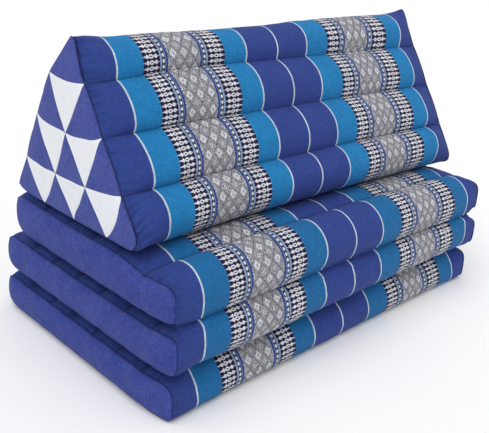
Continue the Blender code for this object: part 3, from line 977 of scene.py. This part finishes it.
# Tubes under each side of the end, as (tube, first share, last share) per row
FRONT_SIDE = ((4, 0.5, 0.0), (3, 1.0, 0.0), (2, 1.0, 0.0), (1, 1.0, 0.5))
BASE_SIDE = ((1, 0.5, 0.0), (0, 1.0, 0.0), (8, 1.0, 0.0), (7, 1.0, 0.5))
BACK_SIDE = ((7, 0.5, 0.0), (6, 1.0, 0.0), (5, 1.0, 0.0), (4, 1.0, 0.5))


def patch_point(ridge_share, front_share, x, side):
    """A point of the end from its shares of the ridge and front corners."""
    back_share = 1.0 - ridge_share - front_share
    ridge = lobe_at(FRONT_SIDE, 0.0, x)
    front = lobe_at(BASE_SIDE, 0.0, x)
    back = lobe_at(BACK_SIDE, 0.0, x)
    point = settle(ridge * ridge_share + front * front_share + back * back_share)
    sides = (
        (FRONT_SIDE, ridge, front, ridge_share, front_share),
        (BASE_SIDE, front, back, front_share, back_share),
        (BACK_SIDE, back, ridge, back_share, ridge_share),
    )
    for places, one, two, one_share, two_share in sides:
        both = one_share + two_share
        if both > 1e-6:
            share = two_share / both
            bend = lobe_at(places, 4 * share, x) - settle(one.lerp(two, share))
            point += bend * both ** EDGE_HOLD
    swell = END_SWELL * math.sqrt(27 * math.prod(corner_shares(point)))
    point.x = side * (SEAM_HALF + swell + PANEL_OFF) + end_lean(point.z, side)
    return point


def mark_rim(mesh, rims):
    """Marks the points of a panel that are sewn into an end seam, where the cloth gets painted shade in the
    crease.
    """
    sewn = mesh.attributes.new("sewn", "FLOAT", "POINT")
    for number, rim in enumerate(rims):
        sewn.data[number].value = rim


def build_patchwork(name, side, blue, white):
    x = side * SEAM_HALF
    steps = TRI_ROWS * PATCH_STEPS
    points, numbers, rims = [], {}, []
    for down in range(steps + 1):
        for along in range(down + 1):
            ridge_share = 1.0 - down / steps
            front_share = (down - along) / steps
            point = patch_point(ridge_share, front_share, x, side)
            numbers[down, along] = len(points)
            shares = (ridge_share, front_share, 1.0 - ridge_share - front_share)
            nearest = min(abs(4 * share - round(4 * share)) for share in shares)
            reach = nearest * TRI_HEIGHT / TRI_ROWS / PATCH_GROOVE_WIDE
            inside = min(1.0, 12 * min(shares))
            white_patch = sum(4 * share % 1.0 for share in shares) > 1.5
            hem_place = (nearest * TRI_HEIGHT / TRI_ROWS - HEM_IN) / HEM_WIDE
            hem = HEM_RISE * math.exp(-hem_place ** 2) * inside if white_patch else 0.0
            uneven = noise.noise_vector(Vector((point.y * 26.0, point.z * 26.0, side * 3.0)))
            point += Vector((0.0, uneven.y, uneven.z)) * PATCH_UNEVEN * inside
            sunk = PATCH_GROOVE * math.exp(-reach ** 2) * inside - hem
            points.append(point - Vector((side * sunk, 0, 0)))
            rims.append(1.0 if min(shares) < 1e-6 else 0.0)
    faces, shades = [], []
    for down in range(steps):
        for along in range(down + 1):
            one, two, three = numbers[down, along], numbers[down + 1, along], numbers[down + 1, along + 1]
            faces.append((one, two, three))
            row, place = down // PATCH_STEPS, along // PATCH_STEPS
            upright = down % PATCH_STEPS >= along % PATCH_STEPS
            shades.append(0 if upright else 1)
            if along < down:
                faces.append((one, three, numbers[down, along + 1]))
                upright = down % PATCH_STEPS > along % PATCH_STEPS
                shades.append(0 if upright else 1)
    mesh = bpy.data.meshes.new(name)
    mesh.from_pydata(points, [], faces)
    mesh.materials.append(blue)
    mesh.materials.append(white)
    layer = mesh.uv_layers.new(name="cloth")
    for face, shade in zip(mesh.polygons, shades):
        face.material_index = shade
        for corner, number in zip(face.loop_indices, face.vertices):
            layer.data[corner].uv = (points[number].y, points[number].z)
    mark_rim(mesh, rims)
    solid = bmesh.new()
    solid.from_mesh(mesh)
    area = sum(face.calc_area() for face in solid.faces)
    if sum(face.normal.x for face in solid.faces) * side < 0:
        bmesh.ops.reverse_faces(solid, faces=solid.faces[:])
    solid.to_mesh(mesh)
    solid.free()
    mesh.shade_smooth()
    piece = bpy.data.objects.new(name, mesh)
    bpy.context.scene.collection.objects.link(piece)
    return piece, area


def thicken(piece, thickness):
    wall = piece.modifiers.new("wall", "SOLIDIFY")
    wall.thickness = thickness
    wall.offset = 1.0
    wall.use_even_offset = False
    apply_modifiers(piece)


def plain_cotton(name, colour, dusty, fade_share, slubs, strength):
    """One-colour cotton with slubs, paler where the cloth has worn, and painted shade in the creases along its
    seams.
    """
    material = bpy.data.materials.new(name)
    material.use_nodes = True
    loom = Loom(material.node_tree)
    shader = material.node_tree.nodes["Principled BSDF"]
    cloth_map = loom.node("ShaderNodeUVMap", uv_map="cloth").outputs[0]
    weave = loom.node("ShaderNodeGroup", node_tree=WEAVE)
    loom.feed(weave.inputs["Cloth Map"], cloth_map)
    blotch = loom.math("MULTIPLY", weave.outputs["Fade"], weave.outputs["Slub"])
    share = loom.math("MULTIPLY", loom.math("SUBTRACT", blotch, 0.12), fade_share)
    # Base colour with random slubs and wear, its value times painted shade in the seam creases.
    slubs_and_crease_shade = loom.node("ShaderNodeHueSaturation")
    loom.feed(slubs_and_crease_shade.inputs["Color"], loom.mix(share, colour, dusty))
    tone = loom.math("ADD", loom.math("MULTIPLY", weave.outputs["Slub"], slubs), 1.0 - slubs / 2)
    loom.feed(slubs_and_crease_shade.inputs["Value"], loom.math("MULTIPLY", tone, loom.painted_crease_shade()))
    loom.feed(shader.inputs["Base Color"], slubs_and_crease_shade.outputs[0])
    bump = loom.node("ShaderNodeBump")
    bump.inputs["Strength"].default_value = strength
    bump.inputs["Distance"].default_value = 0.0006
    loom.feed(bump.inputs["Height"], weave.outputs["Height"])
    loom.feed(shader.inputs["Normal"], bump.outputs[0])
    shader.inputs["Roughness"].default_value = COTTON_ROUGHNESS
    shader.inputs["Specular IOR Level"].default_value = COTTON_SHINE
    shader.inputs["Sheen Weight"].default_value = COTTON_SHEEN
    shader.inputs["Sheen Roughness"].default_value = 0.5
    return material


patch_blue = plain_cotton("patch_blue", PATCH_BLUE, (0.12, 0.13, 0.36, 1.0), 1.6, 2.4, 0.5)
patch_white = plain_cotton("patch_white", PATCH_WHITE, (0.66, 0.68, 0.74, 1.0), 1.0, 0.5, 0.4)
for label, side in (("left", -1), ("right", 1)):
    panel, area = build_patchwork("triangle_patchwork_" + label, side, patch_blue, patch_white)
    thicken(panel, PANEL_THICK)
    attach(panel, "root")
    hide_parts("triangle_end_" + label)

# The three mats are covers of the same cloth, sewn into six or seven tubes and
# stuffed hard. They lie on one another, so their tubes are flattened between
# them and stay round only at the front and back edges.
CHANNEL = 0.009
CHANNEL_AT_SEAM = 0.15
TUBE_FULLNESS = 0.65
PRESSED = 1.10
END_DROP_TOP = 0.013
TIP_DRAW_IN = 0.005
CORNER_DRAW_IN = 0.007
CORNER_FRONT = 0.080
CORNER_BACK = 0.045
SEAM_POWER = 5.0
CREST_SHARE = 0.60
FRONT_FALL_START = -0.120
TUBE_STEPS = 9
EDGE_STEPS = 9
Mat = namedtuple("Mat", "name front back tubes front_tube back_tube front_tip back_tip "
                        "front_top front_low back_top back_low fall_left fall_right end_drop_base")
BLUNT = 4.5
ROUND = 2.0
SLOPING = 1.4
SQUARE = 3.2
MATS = (
    Mat("mat_bottom", -0.240, 0.250, 7, 0.070, 0.085, 0.33, 0.58,
        SLOPING, SQUARE, BLUNT, SQUARE, 0.000, 0.000, 0.002),
    Mat("mat_middle", -0.250, 0.240, 7, 0.055, 0.092, 0.62, 0.40,
        BLUNT, ROUND, ROUND, BLUNT, 0.000, 0.000, 0.008),
    Mat("mat_top", -0.245, 0.195, 6, 0.066, 0.096, 0.36, 0.62,
        ROUND, BLUNT, BLUNT, ROUND, 0.010, 0.003, 0.008),
)
FOOTPRINT_SHIFT = 0.0003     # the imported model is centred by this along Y


def tube_height(share):
    return min(1.0, PRESSED * math.sin(math.pi * min(max(share, 0.0), 1.0)) ** TUBE_FULLNESS)


def edge_curve(power):
    """Quarter of a superellipse: (inward share, height share) from tip to crest."""
    points = []
    for step in range(EDGE_STEPS + 1):
        angle = math.pi / 2 * step / EDGE_STEPS
        inward = 1.0 - math.cos(angle) ** (2.0 / power)
        points.append((inward, math.sin(angle) ** (2.0 / power)))
    return points


def mat_outline(mat, x, over, under):
    """Upper and lower rows of points from the front tip to the back tip, and
    the numbers of the upper points that lie on a channel."""
    full = fullness(x)
    channel = CHANNEL * (CHANNEL_AT_SEAM + (1.0 - CHANNEL_AT_SEAM) * full)
    front = mat.front + TIP_DRAW_IN * (1.0 - full)
    back = mat.back - TIP_DRAW_IN * (1.0 - full)
    first = mat.front + mat.front_tube
    last = mat.back - mat.back_tube
    pitch = (last - first) / (mat.tubes - 2)

    def surface(y, upper):
        level = over if upper else under
        side = -1.0 if upper else 1.0
        drop = END_DROP_TOP if upper else mat.end_drop_base
        fall = 0.0
        if upper and y < FRONT_FALL_START:
            share = (FRONT_FALL_START - y) / (FRONT_FALL_START - first)
            most = mat.fall_left if x < 0 else mat.fall_right
            fall = most * min(1.0, share) * (x / SEAM_HALF) ** 2
        air = 0.0 if level is LEVELS[0] else GAP / 2
        return level_z(level, x, y) + side * (air + drop * (1.0 - full) + fall)

    def place(y, z):
        near = max(0.0, 1.0 - (y - front) / CORNER_FRONT)
        inward = CORNER_DRAW_IN * near ** 2 * (1.0 - full)
        return Vector((x - math.copysign(inward, x), y + FOOTPRINT_SHIFT, z))

    def tip(y, share):
        low, high = surface(y, False), surface(y, True)
        return low + (high - low) * share

    def row(upper):
        side = -1.0 if upper else 1.0
        powers = (mat.front_top, mat.back_top) if upper else (mat.front_low, mat.back_low)
        powers = [SEAM_POWER + (power - SEAM_POWER) * full for power in powers]
        front_tip, back_tip = tip(front, mat.front_tip), tip(back, mat.back_tip)

        def sunk(y, share):
            return place(y, surface(y, upper) + side * channel * (1 - tube_height(share)))

        points = []
        reach = mat.front_tube * CREST_SHARE
        for inward, height in edge_curve(powers[0]):
            y = front + reach * inward
            points.append(place(y, front_tip + (surface(y, upper) - front_tip) * height))
        crest_y = front + reach
        for step in range(1, 4):
            part = step / 4
            points.append(sunk(crest_y + (first - crest_y) * part, 0.5 + part / 2))
        channels = []
        for tube in range(mat.tubes - 2):
            channels.append(len(points))
            for step in range(TUBE_STEPS):
                share = step / TUBE_STEPS
                points.append(sunk(first + pitch * (tube + share), share))
        channels.append(len(points))
        reach = mat.back_tube * CREST_SHARE
        crest_y = back - reach
        for step in range(0, 4):
            part = step / 4
            points.append(sunk(last + (crest_y - last) * part, part / 2))
        for inward, height in reversed(edge_curve(powers[1])):
            y = back - reach * inward
            points.append(place(y, back_tip + (surface(y, upper) - back_tip) * height))
        return points, channels

    upper, channels = row(True)
    lower, unused = row(False)
    return upper, lower, channels


def mat_ladder(upper, lower, side, lift, shares):
    """Columns of points of an end, from each upper point to the one below it."""
    columns = []
    last = len(upper) - 1
    for index in range(last + 1):
        from_front = (upper[index].y - upper[0].y) / CORNER_FRONT
        from_back = (upper[last].y - upper[index].y) / CORNER_BACK
        share = min(from_front, from_back, 1.0)
        swell = END_SWELL * math.sqrt(max(0.0, 1.0 - (1.0 - share) ** 2))
        column = []
        for down in shares:
            part = (1.0 - abs(2 * down - 1.0) ** 2.4)
            point = upper[index].lerp(lower[index], down)
            column.append(point + Vector((side * (swell * part + lift), 0.0, 0.0)))
        columns.append(column)
    return columns


CAP_SHARES = (0.15, 0.40, 0.60, 0.85)
MAT_TURQUOISE = (0.011, 0.125, 0.320, 1.0)    # darker than on the triangle
mat_cloth = banded_cloth("mat_cloth", MAT_TURQUOISE)
TRIANGLE_FRONT = -0.172      # the triangle lies on the top mat behind this
mat_covers = {}
mat_ends = {}
covers = {triangle.name: triangle_cover}
for mat, under, over in zip(MATS, LEVELS, LEVELS[1:]):
    outlines = {x: mat_outline(mat, x, over, under) for x in stations()}
    rings = {x: upper[::-1] + lower[1:-1] for x, (upper, lower, channels) in outlines.items()}
    channels = outlines[-SEAM_HALF][2]
    count = len(outlines[-SEAM_HALF][0])
    seams = [count - 1 - channel for channel in channels] + [count - 1 + channel for channel in channels]
    cover = Cover(mat.name + "_cover", rings, seams)
    for x, side in ((-SEAM_HALF, -1), (SEAM_HALF, 1)):
        upper, lower = outlines[x][0], outlines[x][1]
        edge = list(cover.first(0 if side < 0 else len(rings) - 1))
        upper_edge = edge[count - 1::-1]
        lower_edge = [edge[count - 1]] + edge[count:] + [edge[0]]
        columns = mat_ladder(upper, lower, side, 0.0, CAP_SHARES)
        grid = []
        for index in range(1, count - 1):
            start = len(cover.points)
            cover.points.extend(columns[index])
            grid.append([upper_edge[index]] + list(range(start, start + len(CAP_SHARES))) + [lower_edge[index]])
        for one, two in zip(grid, grid[1:]):
            for down in range(len(CAP_SHARES) + 1):
                cover.faces.append((one[down], two[down], two[down + 1], one[down + 1]))
                cover.maps.append(((x, 0.0),) * 4)
        for tip, column in ((upper_edge[0], grid[0]), (upper_edge[-1], grid[-1])):
            for down in range(len(CAP_SHARES) + 1):
                cover.faces.append((tip, column[down], column[down + 1]))
                cover.maps.append(((x, 0.0),) * 3)
        mat_ends[mat.name, side] = (upper, lower)
    piece = cover.make()
    stuff(cover, piece)
    smooth_cloth(piece)
    ends_and_puckers(piece, PUCKER_DEPTH * 0.7, PUCKER_REACH, PUCKER_PITCH, 10.0 + under.height * 100)
    press(piece, under, over, TRIANGLE_FRONT if over is LEVELS[3] else mat.front)
    dress(piece, mat_cloth, "woven_cover", mat.name)
    mat_covers[mat.name] = piece
    covers[piece.name] = cover

# Each mat is closed at its two ends by a strip of plain blue cotton, sewn to
# the cover all round and pushed out by the filling.
END_BLUE = (0.021, 0.040, 0.250, 1.0)
END_DUSTY = (0.095, 0.12, 0.36, 1.0)
PANEL_SHARES = [index / 14 for index in range(15)]
end_cotton = plain_cotton("end_cotton", END_BLUE, END_DUSTY, 2.0, 2.4, 0.6)
for (mat_name, side), (upper, lower) in mat_ends.items():
    label = "left" if side < 0 else "right"
    columns = mat_ladder(upper, lower, side, PANEL_OFF, PANEL_SHARES)
    columns = columns[1:-1]
    mesh = bpy.data.meshes.new(mat_name + "_panel_" + label)
    points, faces = [], []
    for column in columns:
        points.extend(column)
    rows = len(PANEL_SHARES)
    for index in range(len(columns) - 1):
        for down in range(rows - 1):
            corner = index * rows + down
            faces.append((corner, corner + 1, corner + rows + 1, corner + rows))
    mesh.from_pydata(points, [], faces)
    layer = mesh.uv_layers.new(name="cloth")
    for loop in mesh.loops:
        layer.data[loop.index].uv = (points[loop.vertex_index].y, points[loop.vertex_index].z)
    ends = (0, rows - 1)
    mark_rim(mesh, [1.0 if number % rows in ends else 0.0 for number in range(len(points))])
    solid = bmesh.new()
    solid.from_mesh(mesh)
    area = sum(face.calc_area() for face in solid.faces)
    bmesh.ops.recalc_face_normals(solid, faces=solid.faces[:])
    if sum(face.normal.x for face in solid.faces) * side < 0:
        bmesh.ops.reverse_faces(solid, faces=solid.faces[:])
    solid.to_mesh(mesh)
    solid.free()
    mesh.shade_smooth()
    panel = bpy.data.objects.new(mesh.name, mesh)
    bpy.context.scene.collection.objects.link(panel)
    thicken(panel, PANEL_THICK)
    dress(panel, end_cotton, "end_cotton", mat_name + "_end_" + label)

# Three strips of the same woven cloth hinge the cushion to the top mat, and the
# mats to one another, at the back, the front and the back again. Each is sewn
# along two edges and is tucked into the fold between them.
HINGE_REACH = 0.009          # how far a strip runs onto each piece
HINGE_DIP = 0.010            # depth of its fold
HINGE_GAP = 0.0003
HINGE_END = 0.004            # it stops short of the end seams
HINGE_TAPER = 0.025          # and narrows over this
HINGE_THICK = 0.0010
HINGE_HEM = 0.25             # thickness left at its sewn edges
HINGE_STEPS = [1.0 - index / 12 for index in range(25)]


def tree_of(piece):
    mesh = piece.data
    return BVHTree.FromPolygons([vertex.co for vertex in mesh.vertices],
                                [face.vertices[:] for face in mesh.polygons])


def reach_at(trees, x, z, side):
    """How far the two pieces stand out at a height, on the front (-1) or back (1)."""
    hits = [tree.ray_cast(Vector((x, side, z)), Vector((0.0, -side, 0.0)))[0] for tree in trees]
    return max([side * hit.y for hit in hits if hit] + [0.0])


def fold_along(cover, z, side):
    """Where round its map a cover passes a height, on the front or the back."""
    ring = [cover.points[number] for number in cover.first(len(cover.stations) // 2)]
    found = []
    for index, (one, two) in enumerate(zip(ring, ring[1:] + ring[:1])):
        if min(one.z, two.z) <= z <= max(one.z, two.z) and one.z != two.z:
            share = (z - one.z) / (two.z - one.z)
            low, high = cover.round[index], cover.round[index + 1]
            found.append((side * one.y, low + (high - low) * share))
    return max(found)[1]


def build_hinge(name, upper, lower, level, side):
    places = [-SEAM_HALF + HINGE_END]
    places += [x for x in stations() if SEAM_HALF - abs(x) > HINGE_END]
    places.append(SEAM_HALF - HINGE_END)
    trees = [tree_of(piece) for piece in (upper, lower)]
    middle = level_z(level, 0.0, side * BACK_Y)
    start = fold_along(covers[upper.name], middle + HINGE_REACH, side)
    mesh = bpy.data.meshes.new(name)
    points, maps, faces = [], [], []
    area = 0.0
    rows = len(HINGE_STEPS)
    for x in places:
        fold = level_z(level, x, side * BACK_Y)
        reach = HINGE_REACH * math.sqrt(min(1.0, (SEAM_HALF - abs(x)) / HINGE_TAPER))
        heights = [fold + share * reach for share in HINGE_STEPS]
        edge = min(reach_at(trees, x, heights[0], side), reach_at(trees, x, heights[-1], side))
        outs = [max(reach_at(trees, x, z, side), edge - HINGE_DIP * (1.0 - abs(share)))
                for z, share in zip(heights, HINGE_STEPS)]
        run = start
        inner, outer, rounds = [], [], []
        for index, (z, share) in enumerate(zip(heights, HINGE_STEPS)):
            out = max(outs[max(index - 1, 0):index + 2]) + HINGE_GAP
            thick = HINGE_THICK * (HINGE_HEM + (1.0 - HINGE_HEM) * min(1.0, 3 * (1.0 - abs(share))))
            inner.append(Vector((x, side * out, z)))
            outer.append(Vector((x, side * (out + thick), z)))
            if index:
                run += (inner[-1] - inner[-2]).length
            rounds.append((x, run))
        points.extend(inner + outer[::-1])
        maps.extend(rounds + rounds[::-1])
        area += run - start
    turn = 2 * rows
    for place in range(len(places) - 1):
        for index in range(turn):
            one, two = place * turn + index, place * turn + (index + 1) % turn
            faces.append((one, two, two + turn, one + turn))
    for first in (0, (len(places) - 1) * turn):
        for index in range(rows - 1):
            faces.append((first + index, first + index + 1, first + turn - 2 - index, first + turn - 1 - index))
    mesh.from_pydata(points, [], faces)
    layer = mesh.uv_layers.new(name="cloth")
    for loop in mesh.loops:
        layer.data[loop.index].uv = maps[loop.vertex_index]
    solid = bmesh.new()
    solid.from_mesh(mesh)
    bmesh.ops.recalc_face_normals(solid, faces=solid.faces[:])
    solid.to_mesh(mesh)
    solid.free()
    mesh.shade_smooth()
    piece = bpy.data.objects.new(name, mesh)
    bpy.context.scene.collection.objects.link(piece)
    wide = area / len(places)
    if side < 0:
        after = fold_along(covers[lower.name], middle - HINGE_REACH, side)
        slide_map(lower, start + wide - after)
    return piece, wide


def slide_map(piece, shift):
    """Slides a cover's pattern so that it runs on from the piece above."""
    for corner in piece.data.uv_layers["cloth"].data:
        corner.uv.y += shift


for name, upper, lower, level, side in (
    ("hinge_back_upper", triangle, mat_covers["mat_top"], LEVELS[3], 1),
    ("hinge_front", mat_covers["mat_top"], mat_covers["mat_middle"], LEVELS[2], -1),
    ("hinge_back_lower", mat_covers["mat_middle"], mat_covers["mat_bottom"], LEVELS[1], 1),
):
    strip, wide = build_hinge(name + "_strip", upper, lower, level, side)
    dress(strip, mat_cloth, "hinge_cloth", name)

# Each channel is a row of running stitches in dark blue thread, sewn through
# the cloth from seam to seam before the tubes are filled.
STITCH_PITCH = 0.0060
STITCH_LENGTH = 0.0042
STITCH_THICK = 0.0008
STITCH_SIDES = 5
STITCH_RINGS = 4
STITCH_END = 0.004           # the last stitch lies this far from the end seam
THREAD_BLUE = (0.012, 0.020, 0.110, 1.0)
THREAD_WORN = (0.045, 0.065, 0.240, 1.0)


def sewing_thread():
    """Matt twisted cotton, paler where it has been rubbed."""
    material = bpy.data.materials.new("sewing_thread")
    material.use_nodes = True
    loom = Loom(material.node_tree)
    shader = material.node_tree.nodes["Principled BSDF"]
    place = loom.node("ShaderNodeTexCoord").outputs["Object"]
    rubbed = loom.noise(place, 90.0, 3.0, 0.6)
    loom.feed(shader.inputs["Base Color"], loom.mix(rubbed, THREAD_BLUE, THREAD_WORN))
    twist = loom.node("ShaderNodeTexWave", wave_type="BANDS", bands_direction="DIAGONAL")
    loom.feed(twist.inputs["Vector"], place)
    twist.inputs["Scale"].default_value = 900.0
    bump = loom.node("ShaderNodeBump")
    bump.inputs["Strength"].default_value = 0.5
    bump.inputs["Distance"].default_value = 0.0002
    loom.feed(bump.inputs["Height"], twist.outputs["Fac"])
    loom.feed(shader.inputs["Normal"], bump.outputs[0])
    shader.inputs["Roughness"].default_value = COTTON_ROUGHNESS
    shader.inputs["Specular IOR Level"].default_value = COTTON_SHINE
    return material


def stitch_tree():
    """Geometry Nodes: a row of uneven stitches along each line of points."""
    tree = bpy.data.node_groups.new("running_stitch", "GeometryNodeTree")
    face = tree.interface
    face.new_socket("Seam", in_out="INPUT", socket_type="NodeSocketGeometry")
    for label, value in (("Pitch", STITCH_PITCH), ("Length", STITCH_LENGTH), ("Thickness", STITCH_THICK)):
        face.new_socket(label, in_out="INPUT", socket_type="NodeSocketFloat").default_value = value
    face.new_socket("Seed", in_out="INPUT", socket_type="NodeSocketInt")
    face.new_socket("Thread", in_out="INPUT", socket_type="NodeSocketMaterial")
    face.new_socket("Stitches", in_out="OUTPUT", socket_type="NodeSocketGeometry")
    loom = Loom(tree)
    given, result = loom.node("NodeGroupInput"), loom.node("NodeGroupOutput")
    line = loom.node("GeometryNodeMeshToCurve")
    loom.feed(line.inputs["Mesh"], given.outputs["Seam"])
    places = loom.node("GeometryNodeCurveToPoints", mode="LENGTH")
    loom.feed(places.inputs["Curve"], line.outputs[0])
    loom.feed(places.inputs["Length"], given.outputs["Pitch"])
    ball = loom.node("GeometryNodeMeshUVSphere")
    ball.inputs["Segments"].default_value = STITCH_SIDES
    ball.inputs["Rings"].default_value = STITCH_RINGS
    ball.inputs["Radius"].default_value = 0.5
    size = loom.node("ShaderNodeCombineXYZ")
    loom.feed(size.inputs["X"], given.outputs["Thickness"])
    loom.feed(size.inputs["Y"], given.outputs["Thickness"])
    loom.feed(size.inputs["Z"], given.outputs["Length"])
    drawn = loom.node("GeometryNodeTransform")
    loom.feed(drawn.inputs["Geometry"], ball.outputs["Mesh"])
    loom.feed(drawn.inputs["Scale"], size.outputs[0])
    uneven = loom.node("FunctionNodeRandomValue", data_type="FLOAT_VECTOR")
    uneven.inputs["Min"].default_value = (0.85, 0.85, 0.80)
    uneven.inputs["Max"].default_value = (1.15, 1.15, 1.10)
    loom.feed(uneven.inputs["Seed"], given.outputs["Seed"])
    sewn = loom.node("GeometryNodeInstanceOnPoints")
    loom.feed(sewn.inputs["Points"], places.outputs["Points"])
    loom.feed(sewn.inputs["Instance"], drawn.outputs[0])
    loom.feed(sewn.inputs["Rotation"], places.outputs["Rotation"])
    loom.feed(sewn.inputs["Scale"], uneven.outputs["Value"])
    real = loom.node("GeometryNodeRealizeInstances")
    loom.feed(real.inputs[0], sewn.outputs[0])
    round_off = loom.node("GeometryNodeSetShadeSmooth")
    loom.feed(round_off.inputs[0], real.outputs[0])
    coloured = loom.node("GeometryNodeSetMaterial")
    loom.feed(coloured.inputs["Geometry"], round_off.outputs[0])
    loom.feed(coloured.inputs["Material"], given.outputs["Thread"])
    loom.feed(result.inputs[0], coloured.outputs[0])
    return tree


THREAD = sewing_thread()
STITCHES = stitch_tree()


def sew_channels(cover, piece, seed):
    points, lines = [], []
    rows = [row for row, x in enumerate(cover.stations) if abs(x) < SEAM_HALF - STITCH_END]
    for seam in cover.seams:
        for row in rows:
            vertex = piece.data.vertices[row * cover.count + seam]
            if row > rows[0]:
                lines.append((len(points) - 1, len(points)))
            points.append(vertex.co + vertex.normal * STITCH_THICK / 4)
    mesh = bpy.data.meshes.new(cover.name.replace("_cover", "_stitches"))
    mesh.from_pydata(points, lines, [])
    mesh.materials.append(THREAD)
    stitches = bpy.data.objects.new(mesh.name, mesh)
    bpy.context.scene.collection.objects.link(stitches)
    needle = stitches.modifiers.new("sewing", "NODES")
    needle.node_group = STITCHES
    sockets = {item.name: item.identifier for item in STITCHES.interface.items_tree
               if item.in_out == "INPUT"}
    needle[sockets["Pitch"]] = STITCH_PITCH
    needle[sockets["Length"]] = STITCH_LENGTH
    needle[sockets["Thickness"]] = STITCH_THICK
    needle[sockets["Seed"]] = seed
    needle[sockets["Thread"]] = THREAD
    apply_modifiers(stitches)
    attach(stitches, "root")


for seed, (name, piece) in enumerate([(triangle.name, triangle)]
                                     + [(piece.name, piece) for piece in mat_covers.values()]):
    sew_channels(covers[name], piece, seed)
